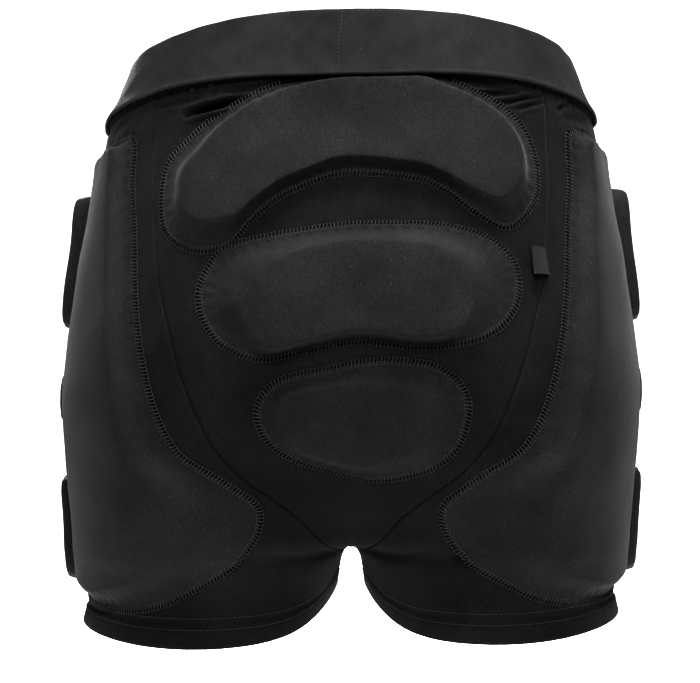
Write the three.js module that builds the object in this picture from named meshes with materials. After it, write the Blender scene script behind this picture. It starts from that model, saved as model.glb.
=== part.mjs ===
// Padded sports shorts that guard the tailbone, seat, lower back, hips and thighs, in the shape they are worn.
// Millimetres. +Z is up, +Y is towards the wearer's front and +X is towards the wearer's right.
// The origin is the middle of the waist, halfway up the waistband at the sides.

import * as THREE from "three";

// Body of the shorts, on the outside of the cloth
const waistWidth = 292; // side to side at the waistband's top edge
const waistBack = 95; // from the middle of the waist to its back
const waistFront = 93; // from the middle of the waist to its front
const hipWidth = 367; // side to side where the hips are widest
const seatDepth = 130; // from the middle plane to the fullest part of the seat
const bellyDepth = 110; // from the middle plane to the fullest part of the belly
const rise = 279; // from the waistband's lower edge down to the crotch, at the side
const inseam = 48; // from the crotch down to the leg's lower edge
const legGap = 9.5; // from the middle plane to the inside of each leg at its lower edge
const waistTilt = 23; // how much higher the waist is at the back than at the side
const tiltPower = 1.35; // how late that height comes on the way from the side to the back
const hemDip = 9; // how much lower the leg's edge is at the back than at the side
const hemInnerRise = 20; // how much higher the leg's edge is between the legs than at the side
const hemInnerPower = 6; // how late that rise starts on the way in
const sideLift = 3; // how much higher the right hip sits than the middle, and how much lower the left one
const sectionBulge = 0.575; // how full the quarters of a section are, 0.552 for an ellipse

// Cloth
const fabric = 2; // thickness of the panels
const seamGap = 0.4; // between two panels
const bandHeight = 41;
const bandThickness = 2.6;
const bandClearance = 0.6; // between the waistband and the panels that it covers
const bandTuck = 6; // how far the panels reach up behind the waistband
const hemHeight = 12;
const hemGap = 0.8; // between a leg's panel and its hem
const hemThickness = 3;
const hemProud = 0.5; // how far the hem stands out from its panel
const gussetReach = 16; // how far the seat and front panels reach down each inner thigh

// Pads
const padClearance = 1.2; // between a pad's back and the panel that carries it
const padEdge = 1.4; // thickness at the sewn edge
// drop is from the waistband's lower edge down to the pad's middle, and across from the middle of the back.
// spine is the length of the pad's middle line, as a share of the pad's. steps are the mesh steps along each
// edge, and backRings the rings of points on the pad's back.
const lumbarDrop = 50;
const seatBelowLumbar = 71; // from the lumbar pad's middle down to the seat pad's
const tailboneBelowSeat = 74; // from the seat pad's middle down to the tailbone pad's
const lumbarPad = {
  drop: lumbarDrop, across: -1, halfWidth: 121, halfHeight: 47, thickness: 12,
  spine: 0.72, steps: 18, backRings: 3,
};
const seatPad = {
  drop: lumbarDrop + seatBelowLumbar, across: 5, halfWidth: 99, halfHeight: 37, thickness: 12,
  spine: 0.66, steps: 16, backRings: 3,
};
const tailbonePad = {
  drop: seatPad.drop + tailboneBelowSeat, across: 7, halfWidth: 65, halfHeight: 35, thickness: 7,
  spine: 0.5, steps: 14, backRings: 3,
};
// The hip pad's widths are measured back from the side.
const hipPad = {
  drop: 166, across: 0, halfWidth: 194, halfHeight: 145, thickness: 11,
  spine: 0.92, steps: 22, backRings: 6,
};
const sidePadWidth = 84; // around the leg
const sidePadThickness = 23; // of the thickest one
const sidePadBack = 5; // how far behind the side the side pads reach
const sidePadCorner = 6; // power of the rounded outline
const sidePadMargin = 0.2; // sloping margin, as a share of the way in to the pad's middle line
const sidePadMesh = { spine: 0.7, backRings: 3 };

// Label
const labelHeight = 18;
const labelLength = 12;
const labelThickness = 1.4;
const labelLean = 22; // degrees that the label stands away from the cloth
const labelDrop = 104; // from the waistband's lower edge down to its middle
const labelClearance = 0.85; // between the seam and the middle of the label's end

// Mesh steps
const quarterSteps = 16; // steps of a quarter of a section, for measuring along it
const legColumns = 16;
const panelColumns = 6; // of the seat and front panels, on each side of the middle
const bandSteps = 16; // in each quarter of the waist
const hemSteps = 8; // in each half of the leg

// Sections of the body. level is -1 at the waistband's top edge, 0 at its lower edge, 1 at the crotch
// and 2 at the leg's lower edge. hip is the share of the way from the waist's width to the hips' width.
// seat and belly are shares of the way from the waist's depth to the full depth, behind and in front.
// seatAt and bellyAt are where the section is deepest, as shares of its half width.
// apart is how far the section has turned from a trunk into two legs, and gap a share of legGap.
// tilt is a share of waistTilt.
const sections = [
  { level: -1, hip: 0, seat: 0, seatAt: 0.06, belly: 0, bellyAt: 0.2, apart: 0, gap: 0, tilt: 1.08 },
  { level: 0, hip: 0.47, seat: 0.23, seatAt: 0.3, belly: 0.45, bellyAt: 0.32, apart: 0, gap: 0, tilt: 1 },
  { level: 0.08, hip: 0.575, seat: 0.27, seatAt: 0.31, belly: 0.6, bellyAt: 0.33, apart: 0, gap: 0, tilt: 0.92 },
  { level: 0.24, hip: 0.645, seat: 0.6, seatAt: 0.34, belly: 0.92, bellyAt: 0.35, apart: 0, gap: 0, tilt: 0.66 },
  { level: 0.42, hip: 0.81, seat: 0.9, seatAt: 0.39, belly: 1, bellyAt: 0.38, apart: 0, gap: 0, tilt: 0.4 },
  { level: 0.55, hip: 0.935, seat: 1, seatAt: 0.42, belly: 0.9, bellyAt: 0.42, apart: 0, gap: 0, tilt: 0.24 },
  { level: 0.64, hip: 1, seat: 0.96, seatAt: 0.44, belly: 0.78, bellyAt: 0.44, apart: 0, gap: 0, tilt: 0.14 },
  { level: 0.8, hip: 0.93, seat: 0.74, seatAt: 0.47, belly: 0.5, bellyAt: 0.48, apart: 0.12, gap: 0, tilt: 0.03 },
  { level: 0.95, hip: 0.84, seat: 0.46, seatAt: 0.49, belly: 0.28, bellyAt: 0.5, apart: 0.55, gap: 0, tilt: 0 },
  { level: 1, hip: 0.82, seat: 0.38, seatAt: 0.5, belly: 0.22, bellyAt: 0.51, apart: 0.85, gap: 0, tilt: 0 },
  { level: 1.05, hip: 0.81, seat: 0.33, seatAt: 0.5, belly: 0.18, bellyAt: 0.51, apart: 1, gap: 0.46, tilt: 0 },
  { level: 1.3, hip: 0.795, seat: 0.2, seatAt: 0.51, belly: 0.05, bellyAt: 0.52, apart: 1, gap: 0.61, tilt: 0 },
  { level: 1.6, hip: 0.81, seat: 0.12, seatAt: 0.52, belly: -0.03, bellyAt: 0.52, apart: 1, gap: 0.75, tilt: 0 },
  { level: 2, hip: 0.93, seat: 0.06, seatAt: 0.53, belly: -0.1, bellyAt: 0.53, apart: 1, gap: 1, tilt: 0 },
];

// The middle lines of the back and the front turn under the crotch as flattened quarter ellipses.
const underBack = { from: 0.6, power: 2.6 };
const underFront = { from: 0.58, power: 2.2 };

// Seams beside the seat and front panels. down is 0 at the waistband's lower edge, 1 at the crotch and
// 2 at the end of the gusset, turn runs from 0 at the side to 1 at the middle, and middle is where the
// same row of the panel meets its middle line.
const seatSeams = [
  { down: -0.2, turn: 0.41, middle: -0.2 },
  { down: 0.15, turn: 0.44, middle: 0.15 },
  { down: 0.39, turn: 0.51, middle: 0.39 },
  { down: 0.5, turn: 0.56, middle: 0.5 },
  { down: 0.62, turn: 0.61, middle: 0.62 },
  { down: 0.75, turn: 0.675, middle: 0.75 },
  { down: 0.82, turn: 0.74, middle: 0.82 },
  { down: 0.87, turn: 0.81, middle: 0.865 },
  { down: 0.93, turn: 0.875, middle: 0.92 },
  { down: 0.97, turn: 0.89, middle: 0.965 },
  { down: 1, turn: 0.9, middle: 0.99 },
  { down: 1.4, turn: 0.945, middle: 0.998 },
  { down: 2, turn: 1, middle: 1 },
];
const frontSeams = [
  { down: -0.2, turn: 0.44, middle: -0.2 },
  { down: 0.42, turn: 0.5, middle: 0.42 },
  { down: 0.7, turn: 0.64, middle: 0.7 },
  { down: 0.85, turn: 0.79, middle: 0.84 },
  { down: 0.93, turn: 0.87, middle: 0.92 },
  { down: 0.97, turn: 0.89, middle: 0.965 },
  { down: 1, turn: 0.9, middle: 0.99 },
  { down: 1.4, turn: 0.945, middle: 0.998 },
  { down: 2, turn: 1, middle: 1 },
];

// Rows of the panels, as down above, and rows of the legs as shares of the way from there to the hem.
const panelRows = [
  0.035, 0.08, 0.15, 0.23, 0.32, 0.41, 0.5, 0.59, 0.68, 0.76, 0.83, 0.89, 0.94, 0.97, 0.988, 1, 1.4, 2,
];
const legRows = [1];

// Drag folds under the waistband, as lines on the cloth from one end to the other. across is the distance
// from the middle of the back and down that below the waistband, as shares of seatDepth.
const foldDepth = 3;
const foldWidth = 5;
const folds = [
  { across: -0.98, down: 0.12, toAcross: -0.62, toDown: 0.02 },
  { across: -1.1, down: 0.24, toAcross: -0.9, toDown: 0.15 },
  { across: 1.14, down: 0.02, toAcross: 0.78, toDown: 0.05 },
  { across: 1.16, down: 0.08, toAcross: 0.94, toDown: 0.17 },
];

// Pad outlines. along runs from end to end of the pad, and near and far are its two edges as shares of the
// half size across it. nearSlope and farSlope are the widths of the sloping margins, as shares of the way
// from each edge to the pad's middle line.
// The lumbar, seat and tailbone pads lie across the back, with their upper edge near.
const lumbarOutline = [
  { along: -1, near: 0.36, far: 0.36, nearSlope: 0.55, farSlope: 0.55 },
  { along: -0.97, near: -0.09, far: 0.7, nearSlope: 0.5, farSlope: 0.45 },
  { along: -0.87, near: -0.32, far: 0.91, nearSlope: 0.4, farSlope: 0.35 },
  { along: -0.75, near: -0.53, far: 1, nearSlope: 0.3, farSlope: 0.3 },
  { along: -0.63, near: -0.68, far: 0.96, nearSlope: 0.25, farSlope: 0.3 },
  { along: -0.5, near: -0.84, far: 0.64, nearSlope: 0.25, farSlope: 0.25 },
  { along: -0.33, near: -1, far: 0.34, nearSlope: 0.2, farSlope: 0.22 },
  { along: 0, near: -1, far: 0.11, nearSlope: 0.2, farSlope: 0.22 },
  { along: 0.36, near: -1, far: 0.19, nearSlope: 0.2, farSlope: 0.22 },
  { along: 0.51, near: -0.96, far: 0.36, nearSlope: 0.2, farSlope: 0.25 },
  { along: 0.66, near: -0.85, far: 0.62, nearSlope: 0.25, farSlope: 0.28 },
  { along: 0.8, near: -0.7, far: 0.77, nearSlope: 0.3, farSlope: 0.3 },
  { along: 0.93, near: -0.43, far: 0.57, nearSlope: 0.4, farSlope: 0.4 },
  { along: 1, near: 0.17, far: 0.17, nearSlope: 0.5, farSlope: 0.5 },
];
const seatOutline = [
  { along: -1, near: 0.03, far: 0.03, nearSlope: 0.62, farSlope: 0.62 },
  { along: -0.96, near: -0.3, far: 0.43, nearSlope: 0.6, farSlope: 0.5 },
  { along: -0.83, near: -0.68, far: 0.81, nearSlope: 0.5, farSlope: 0.4 },
  { along: -0.6, near: -0.82, far: 1, nearSlope: 0.4, farSlope: 0.32 },
  { along: -0.34, near: -0.92, far: 0.89, nearSlope: 0.35, farSlope: 0.25 },
  { along: 0, near: -1, far: 0.76, nearSlope: 0.35, farSlope: 0.22 },
  { along: 0.4, near: -0.98, far: 0.86, nearSlope: 0.35, farSlope: 0.25 },
  { along: 0.7, near: -0.86, far: 0.78, nearSlope: 0.4, farSlope: 0.35 },
  { along: 0.86, near: -0.68, far: 0.6, nearSlope: 0.5, farSlope: 0.45 },
  { along: 0.97, near: -0.4, far: 0.27, nearSlope: 0.6, farSlope: 0.55 },
  { along: 1, near: -0.05, far: -0.05, nearSlope: 0.62, farSlope: 0.62 },
];
const tailboneOutline = [
  { along: -1, near: -0.17, far: -0.17, nearSlope: 0.4, farSlope: 0.4 },
  { along: -0.77, near: -0.71, far: 0.49, nearSlope: 0.35, farSlope: 0.35 },
  { along: -0.3, near: -0.88, far: 0.82, nearSlope: 0.35, farSlope: 0.3 },
  { along: 0.15, near: -1, far: 1, nearSlope: 0.35, farSlope: 0.3 },
  { along: 0.6, near: -0.93, far: 0.85, nearSlope: 0.35, farSlope: 0.3 },
  { along: 0.86, near: -0.71, far: 0.54, nearSlope: 0.4, farSlope: 0.4 },
  { along: 1, near: -0.2, far: -0.2, nearSlope: 0.5, farSlope: 0.5 },
];
// The hip pad stands upright, from its top to the thigh, with its back edge near and its side edge far.
const hipOutline = [
  { along: -1, near: 0.28, far: 0.28, nearSlope: 0.4, farSlope: 0.4 },
  { along: -0.985, near: 0.4, far: 0.08, nearSlope: 0.4, farSlope: 0.2 },
  { along: -0.8, near: 0.44, far: 0.05, nearSlope: 0.4, farSlope: 0.12 },
  { along: -0.43, near: 0.555, far: 0.05, nearSlope: 0.36, farSlope: 0.12 },
  { along: 0.04, near: 0.7, far: 0.05, nearSlope: 0.34, farSlope: 0.12 },
  { along: 0.31, near: 0.78, far: 0.05, nearSlope: 0.36, farSlope: 0.12 },
  { along: 0.44, near: 0.91, far: 0.05, nearSlope: 0.38, farSlope: 0.12 },
  { along: 0.56, near: 1, far: 0.05, nearSlope: 0.4, farSlope: 0.12 },
  { along: 0.75, near: 0.92, far: 0.05, nearSlope: 0.4, farSlope: 0.12 },
  { along: 0.88, near: 0.75, far: 0.05, nearSlope: 0.36, farSlope: 0.12 },
  { along: 0.985, near: 0.51, far: 0.1, nearSlope: 0.4, farSlope: 0.2 },
  { along: 1, near: 0.3, far: 0.3, nearSlope: 0.4, farSlope: 0.4 },
];
// Side pads, one above the other. drop is from the waistband's lower edge to the pad's middle and halfHeight
// half its height, both as shares of rise, and thick a share of sidePadThickness.
const sidePads = [
  { name: "upper", drop: 0.308, halfHeight: 0.186, thick: 1, steps: 10 },
  { name: "middle", drop: 0.642, halfHeight: 0.061, thick: 0.74, steps: 9 },
  { name: "lower", drop: 0.961, halfHeight: 0.147, thick: 0.91, steps: 10 },
];

// Smooth curve through a table's column, which never overshoots its values.
function column(table, key, name) {
  const x = table.map((row) => (typeof key === "function" ? key(row) : row[key]));
  const y = table.map((row) => row[name]);
  const slope = x.slice(1).map((v, i) => (y[i + 1] - y[i]) / (v - x[i]));
  const tangent = x.map((_, i) => {
    if (i === 0) return slope[0];
    if (i === x.length - 1) return slope[i - 1];
    if (slope[i - 1] * slope[i] <= 0) return 0;
    return (2 * slope[i - 1] * slope[i]) / (slope[i - 1] + slope[i]);
  });
  return (at) => {
    let i = 0;
    while (i < x.length - 2 && at > x[i + 1]) i++;
    const span = x[i + 1] - x[i];
    const t = THREE.MathUtils.clamp((at - x[i]) / span, 0, 1);
    const rest = 1 - t;
    const start = y[i] * (1 + 2 * t) + tangent[i] * span * t;
    const end = y[i + 1] * (1 + 2 * rest) - tangent[i + 1] * span * rest;
    return start * rest * rest + end * t * t;
  };
}

const sectionAt = Object.fromEntries(
  Object.keys(sections[0]).map((name) => [name, column(sections, "level", name)]),
);
const mix = THREE.MathUtils.lerp;

// Height of a level at the side.
function sideHeight(level) {
  const top = -bandHeight / 2;
  if (level < 0) return top - level * bandHeight;
  if (level < 1) return top - level * rise;
  return top - rise - (level - 1) * inseam;
}

// Level at a distance below the waistband's lower edge, measured at the side.
function levelAt(drop) {
  if (drop < 0) return drop / bandHeight;
  if (drop < rise) return drop / rise;
  return 1 + (drop - rise) / inseam;
}

function quarterEllipse(level, { from, power }) {
  const share = THREE.MathUtils.clamp((level - from) / (1 - from), 0, 1);
  return (1 - share ** power) ** (1 / power);
}

// One half of a section as two curves from the side, one to the middle of the back and one to the front's.
function halfSection(level) {
  const value = Object.fromEntries(Object.keys(sectionAt).map((name) => [name, sectionAt[name](level)]));
  const half = mix(waistWidth, hipWidth, value.hip) / 2;
  const back = mix(waistBack, seatDepth, value.seat);
  const front = mix(waistFront, bellyDepth, value.belly);
  const inside = legGap * value.gap;
  const curve = (depth, peak, middle, sign) => {
    const flat = (x, y) => new THREE.Vector3(x, y * sign, 0);
    const outer = new THREE.CubicBezierCurve3(
      flat(half, 0),
      flat(half, depth * sectionBulge),
      flat(mix(peak, half, sectionBulge), depth),
      flat(peak, depth),
    );
    const inner = new THREE.CubicBezierCurve3(
      flat(peak, depth),
      flat(mix(peak, inside, sectionBulge), depth),
      flat(
        mix(mix(inside, peak, sectionBulge), inside, value.apart),
        mix(middle, depth, sectionBulge * value.apart),
      ),
      flat(inside, middle),
    );
    const points = [...outer.getPoints(quarterSteps), ...inner.getPoints(quarterSteps).slice(1)];
    for (const point of points) {
      const toBack = -point.y / depth;
      const dip = level > 1 ? hemDip * (level - 1) ** 2 * Math.max(0, toBack) ** 2 : 0;
      const tilted = Math.sign(toBack) * Math.abs(toBack) ** tiltPower;
      const inward = Math.max(0, (peak - point.x) / (peak - inside));
      const downLeg = THREE.MathUtils.clamp((level - 1) / (1 - hemHeight / inseam), 0, 1);
      const inner = hemInnerRise * downLeg * inward ** hemInnerPower;
      point.z = sideHeight(level) + waistTilt * value.tilt * tilted - dip + inner;
    }
    const along = [0];
    points.slice(1).forEach((point, i) => along.push(along[i] + point.distanceTo(points[i])));
    return { points, along, length: along[along.length - 1] };
  };
  return {
    back: curve(back, half * value.seatAt, back * quarterEllipse(level, underBack), -1),
    front: curve(front, half * value.bellyAt, front * quarterEllipse(level, underFront), 1),
  };
}

const knownSections = new Map();
function sectionOf(level) {
  const key = level.toFixed(5);
  if (!knownSections.has(key)) knownSections.set(key, halfSection(level));
  return knownSections.get(key);
}

// A point of the body. turn is 0 at the side, 1 at the middle of the back and -1 at that of the front,
// and hand is 1 on the wearer's right and -1 on the left. Past the middle, a trunk goes on into its
// other half, and a leg from its back to its front.
function bodyPoint(level, turn, hand) {
  if (Math.abs(turn) > 1) {
    const past = turn - 2 * Math.sign(turn);
    return level < 1 ? bodyPoint(level, -past, -hand) : bodyPoint(level, past, hand);
  }
  const { points, along, length } = sectionOf(level)[turn < 0 ? "front" : "back"];
  const target = Math.abs(turn) * length;
  let i = 0;
  while (i < points.length - 2 && along[i + 1] < target) i++;
  const point = points[i].clone().lerp(points[i + 1], (target - along[i]) / (along[i + 1] - along[i]));
  point.x *= hand;
  point.z += (sideLift * point.x) / (hipWidth / 2);
  return point;
}

// The direction that the body faces at a point, away from the crotch.
function bodyNormal(level, turn, hand) {
  const step = 0.01;
  const around = bodyPoint(level, turn + step, hand).sub(bodyPoint(level, turn - step, hand));
  const down = bodyPoint(level + step, turn, hand).sub(bodyPoint(level - step, turn, hand));
  return around.cross(down).multiplyScalar(hand).normalize();
}

// The level and turn of a place on the cloth, by its drop below the waistband's lower edge and its
// distance back from the side.
function placeAt(drop, backwards, hand) {
  const level = levelAt(drop);
  const { back, front } = sectionOf(level);
  return [level, backwards / (backwards < 0 ? front : back).length, hand];
}

// The same by its distance round from the middle of the back, which is negative on the left.
function placeFromMiddle(drop, across) {
  const { back } = sectionOf(levelAt(drop));
  return placeAt(drop, back.length - Math.abs(across), across < 0 ? -1 : 1);
}

// How far the cloth sinks into the drag folds at a level and turn on the back.
function foldSink(level, turn, hand) {
  if (turn < 0 || level < 0 || level > 0.5) return 0;
  const across = (1 - turn) * sectionOf(level).back.length * hand;
  const here = new THREE.Vector2(across, level * rise);
  let sink = 0;
  for (const fold of folds) {
    const start = new THREE.Vector2(fold.across, fold.down).multiplyScalar(seatDepth);
    const run = new THREE.Vector2(fold.toAcross, fold.toDown).multiplyScalar(seatDepth).sub(start);
    const share = THREE.MathUtils.clamp(here.clone().sub(start).dot(run) / run.lengthSq(), 0, 1);
    const away = here.distanceTo(start.addScaledVector(run, share)) / foldWidth;
    sink += foldDepth * Math.exp(-(away ** 2));
  }
  return sink;
}

// Turns a list of triangles, each three points, into a closed geometry that faces out.
function closedBody(triangles) {
  const corners = [];
  let volume = 0;
  for (const [a, b, c] of triangles) {
    volume += a.dot(b.clone().cross(c));
    corners.push(a, b, c);
  }
  if (volume < 0) {
    for (let i = 0; i < corners.length; i += 3) [corners[i], corners[i + 1]] = [corners[i + 1], corners[i]];
  }
  const geometry = new THREE.BufferGeometry().setFromPoints(corners);
  geometry.computeVertexNormals();
  return geometry;
}

// The two triangles between four points, split along the shorter diagonal.
function quad(a, b, c, d) {
  if (a.distanceToSquared(c) < b.distanceToSquared(d)) return [[a, b, c], [a, c, d]];
  return [[a, b, d], [b, c, d]];
}

// A closed wall between an outer and an inner net of points, with its rows joined end to end in a ring.
// Its rims are split from the outside of one row to the inside of the next, so that two walls that share a
// seam have the same rim there.
function wall(outer, inner, ring = false) {
  const triangles = [];
  const end = outer.length - 1;
  const columns = outer[0].length;
  const last = ring ? columns : columns - 1;
  const rim = (out, into, outNext, intoNext, turned) => {
    if (turned) triangles.push([outNext, out, intoNext], [out, into, intoNext]);
    else triangles.push([out, outNext, intoNext], [out, intoNext, into]);
  };
  for (let i = 0; i < end; i++) {
    for (let j = 0; j < last; j++) {
      const k = (j + 1) % columns;
      triangles.push(...quad(outer[i][j], outer[i][k], outer[i + 1][k], outer[i + 1][j]));
      triangles.push(...quad(inner[i][k], inner[i][j], inner[i + 1][j], inner[i + 1][k]));
    }
  }
  for (let j = 0; j < last; j++) {
    const k = (j + 1) % columns;
    rim(outer[0][j], inner[0][j], outer[0][k], inner[0][k], true);
    rim(outer[end][j], inner[end][j], outer[end][k], inner[end][k], false);
  }
  if (ring) return closedBody(triangles);
  for (let i = 0; i < end; i++) {
    rim(outer[i][0], inner[i][0], outer[i + 1][0], inner[i + 1][0], false);
    rim(outer[i][last], inner[i][last], outer[i + 1][last], inner[i + 1][last], true);
  }
  return closedBody(triangles);
}

const finishes = {
  cloth: { color: 0x2c2b2d, roughness: 0.92, metalness: 0 },
  padCloth: { color: 0x2f2e30, roughness: 0.9, metalness: 0 },
  elastic: { color: 0x242325, roughness: 0.85, metalness: 0 },
  ribbon: { color: 0x1b1a1c, roughness: 0.7, metalness: 0 },
};

function piece(name, geometry, finish) {
  const mesh = new THREE.Mesh(geometry, new THREE.MeshStandardMaterial(finishes[finish]));
  mesh.name = name;
  return mesh;
}

// Body level of a seam's row.
function seamLevel(down) {
  if (down < 0) return (down * rise) / bandHeight;
  return down < 1 ? down : 1 + ((down - 1) * gussetReach) / inseam;
}

const seamTurns = {
  back: column(seatSeams, "down", "turn"),
  front: column(frontSeams, "down", "turn"),
};
const seamMiddles = {
  back: column(seatSeams, "down", "middle"),
  front: column(frontSeams, "down", "middle"),
};
const tuckedRow = -bandTuck / rise;
const cutRows = [tuckedRow, 0, ...panelRows];
const hemTop = 2 - hemHeight / inseam;
const legEnd = hemTop - hemGap / inseam;

// Places of the seat or front panel, from the right seam over the middle to the left seam.
function middlePanelPlaces(side) {
  const sign = side === "back" ? 1 : -1;
  return cutRows.map((down) => {
    const turn = seamTurns[side](down);
    const places = [];
    for (const hand of [1, -1]) {
      for (let j = 0; j <= panelColumns; j++) {
        const share = hand > 0 ? j / panelColumns : 1 - j / panelColumns;
        if (hand < 0 && share === 1) continue;
        const level = mix(seamLevel(down), seamLevel(seamMiddles[side](down)), Math.sin((share * Math.PI) / 2));
        places.push([level, sign * mix(turn, 1, share), hand]);
      }
    }
    return places;
  });
}

// Places of a leg panel, from the seat panel's seam round the side to the front panel's.
function legPanelPlaces(hand) {
  const row = (level, back, front) =>
    Array.from({ length: legColumns + 1 }, (_, j) => [level, mix(back, -front, j / legColumns), hand]);
  const upper = cutRows.map((down) => row(seamLevel(down), seamTurns.back(down), seamTurns.front(down)));
  const gussetEnd = seamLevel(2);
  return [...upper, ...legRows.map((share) => row(mix(gussetEnd, legEnd, share), 1, 1))];
}

const panelPlaces = {
  seat_panel: middlePanelPlaces("back"),
  front_panel: middlePanelPlaces("front"),
  leg_panel_right: legPanelPlaces(1),
  leg_panel_left: legPanelPlaces(-1),
};

// The nets of all the panels, with the direction of the cloth at each point averaged over every face
// that meets there, so that neighbours share it along their seams.
function panelNets() {
  const spot = (point) => point.toArray().map((v) => Math.round(v * 1000) + 0).join();
  const facing = new Map();
  const nets = {};
  for (const [name, places] of Object.entries(panelPlaces)) {
    const net = places.map((row) => row.map((place) => bodyPoint(...place)));
    const turned = name === "leg_panel_left" || name === "seat_panel" ? -1 : 1;
    for (let i = 0; i < net.length - 1; i++) {
      for (let j = 0; j < net[0].length - 1; j++) {
        const corners = [net[i][j], net[i][j + 1], net[i + 1][j + 1], net[i + 1][j]];
        const across = corners[2].clone().sub(corners[0]);
        const face = across.cross(corners[3].clone().sub(corners[1])).multiplyScalar(-turned);
        for (const corner of corners) {
          const key = spot(corner);
          facing.set(key, (facing.get(key) ?? new THREE.Vector3()).add(face));
        }
      }
    }
    nets[name] = { net, places };
  }
  for (const entry of Object.values(nets)) {
    entry.normals = entry.net.map((row) => row.map((point) => facing.get(spot(point)).clone().normalize()));
  }
  return nets;
}

// Draws the outermost rows and columns of a net in by half a seam's gap.
function drawnIn(net, sides) {
  const shifted = net.map((row) => row.map((point) => point.clone()));
  const rows = net.length - 1;
  const columns = net[0].length - 1;
  const pull = (i, j, toI, toJ) => {
    const run = net[toI][toJ].clone().sub(net[i][j]);
    shifted[i][j].addScaledVector(run.normalize(), seamGap / 2);
  };
  for (let i = 0; i <= rows; i++) {
    pull(i, 0, i, 1);
    pull(i, columns, i, columns - 1);
  }
  if (sides.bottom) for (let j = 0; j <= columns; j++) pull(rows, j, rows - 1, j);
  return shifted;
}

function clothPanels() {
  return Object.entries(panelNets()).map(([name, { net, places, normals }]) => {
    const seams = drawnIn(net, { bottom: !name.startsWith("leg") });
    const offset = (inwards) =>
      seams.map((row, i) =>
        row.map((point, j) => {
          const depth = inwards + foldSink(...places[i][j]);
          return point.clone().addScaledVector(normals[i][j], -depth);
        }),
      );
    return piece(name, wall(offset(0), offset(fabric)), "cloth");
  });
}

// A ring round the trunk or one leg between two levels, standing off the body's surface.
function ringWall(levels, turns, inside, thickness) {
  const net = (height) =>
    levels.map((level) =>
      turns.map(([turn, hand]) => {
        const place = [level, turn, hand];
        return bodyPoint(...place).addScaledVector(bodyNormal(...place), height);
      }),
    );
  return wall(net(inside + thickness), net(inside), true);
}

function waistband() {
  const turns = [];
  for (let k = 0; k < 4 * bandSteps; k++) {
    const turn = 1 - (k % (2 * bandSteps)) / bandSteps;
    turns.push(k < 2 * bandSteps ? [turn, 1] : [-turn, -1]);
  }
  const levels = [-1, (-1.5 * bandTuck) / bandHeight, 0];
  return piece("waistband", ringWall(levels, turns, bandClearance, bandThickness), "elastic");
}

function hem(name, hand) {
  const turns = [];
  for (let k = 0; k < 2 * hemSteps; k++) turns.push([1 - k / hemSteps, hand]);
  const bottom = 2;
  return piece(name, ringWall([hemTop, bottom], turns, hemProud - hemThickness, hemThickness), "cloth");
}

// Angles at which both edges of a pad are cut into steps, evenly in the angle and in the edges' length.
function evenAngles(edges, steps, halfAlong, halfSide) {
  const fine = 240;
  const angles = Array.from({ length: fine + 1 }, (_, i) => (Math.PI * i) / fine);
  const run = [0];
  for (let i = 1; i <= fine; i++) {
    const lengths = edges.map((edgeAt) => {
      const [from, to] = [edgeAt(angles[i - 1]), edgeAt(angles[i])];
      return Math.hypot((to.x - from.x) * halfAlong, (to.y - from.y) * halfSide);
    });
    run.push(run[i - 1] + lengths[0] + lengths[1]);
  }
  const measure = run.map((length, i) => length / run[fine] + i / fine);
  return Array.from({ length: steps + 1 }, (_, k) => {
    const target = (2 * k) / steps;
    let i = 1;
    while (i < fine && measure[i] < target) i++;
    const share = (target - measure[i - 1]) / (measure[i] - measure[i - 1]);
    return mix(angles[i - 1], angles[i], share);
  });
}

// A pad's outline as a loop from one end along the near edge to the other end and back along the far edge.
// Each point knows its place on the pad's middle line, and how far its sloping margin reaches towards it.
function outlineLoop(edges, middleAt, slopes, { steps, halfWidth, halfHeight }, upright) {
  const angles = evenAngles(edges, steps, ...(upright ? [halfHeight, halfWidth] : [halfWidth, halfHeight]));
  const [near, far] = edges.map((edgeAt, side) =>
    angles.map((angle) => ({ edge: edgeAt(angle), middle: middleAt(angle), slope: slopes[side](angle) })),
  );
  return [...near, ...far.slice(1, -1).reverse()];
}

function tableLoop(table, size, upright) {
  const angleOf = (row) => Math.acos(-row.along);
  const [near, far, nearSlope, farSlope] = ["near", "far", "nearSlope", "farSlope"].map((name) =>
    column(table, angleOf, name),
  );
  const edges = [near, far].map((side) => (angle) => new THREE.Vector2(-Math.cos(angle), side(angle)));
  const middleAt = (angle) => {
    const inner = Math.acos(size.spine * Math.cos(angle));
    return new THREE.Vector2(-Math.cos(inner), (near(inner) + far(inner)) / 2);
  };
  return outlineLoop(edges, middleAt, [nearSlope, farSlope], size, upright);
}

// The outline of a rounded oblong that stands upright.
function roundedLoop(power, slope, size) {
  const bend = (v) => Math.sign(v) * Math.abs(v) ** (2 / power);
  const edges = [-1, 1].map(
    (sign) => (angle) => new THREE.Vector2(-bend(Math.cos(angle)), sign * bend(Math.sin(angle))),
  );
  const middleAt = (angle) => new THREE.Vector2(-bend(Math.cos(angle)) * size.spine, 0);
  return outlineLoop(edges, middleAt, [() => slope, () => slope], size, true);
}

// Rings of a pad from its edge to the middle of its top. slope is the share of the sloping margin that the
// ring has crossed, crown the share of the way from there to the middle line, and rise the share of the way
// from the sewn edge's thickness to the pad's.
const padTop = [
  { slope: 0, rise: 0 },
  { slope: 0.25, rise: 0.1 },
  { slope: 0.75, rise: 0.82 },
  { crown: 0, rise: 0.95 },
  { crown: 0.4, rise: 1 },
  { crown: 0.8, rise: 1 },
];

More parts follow.
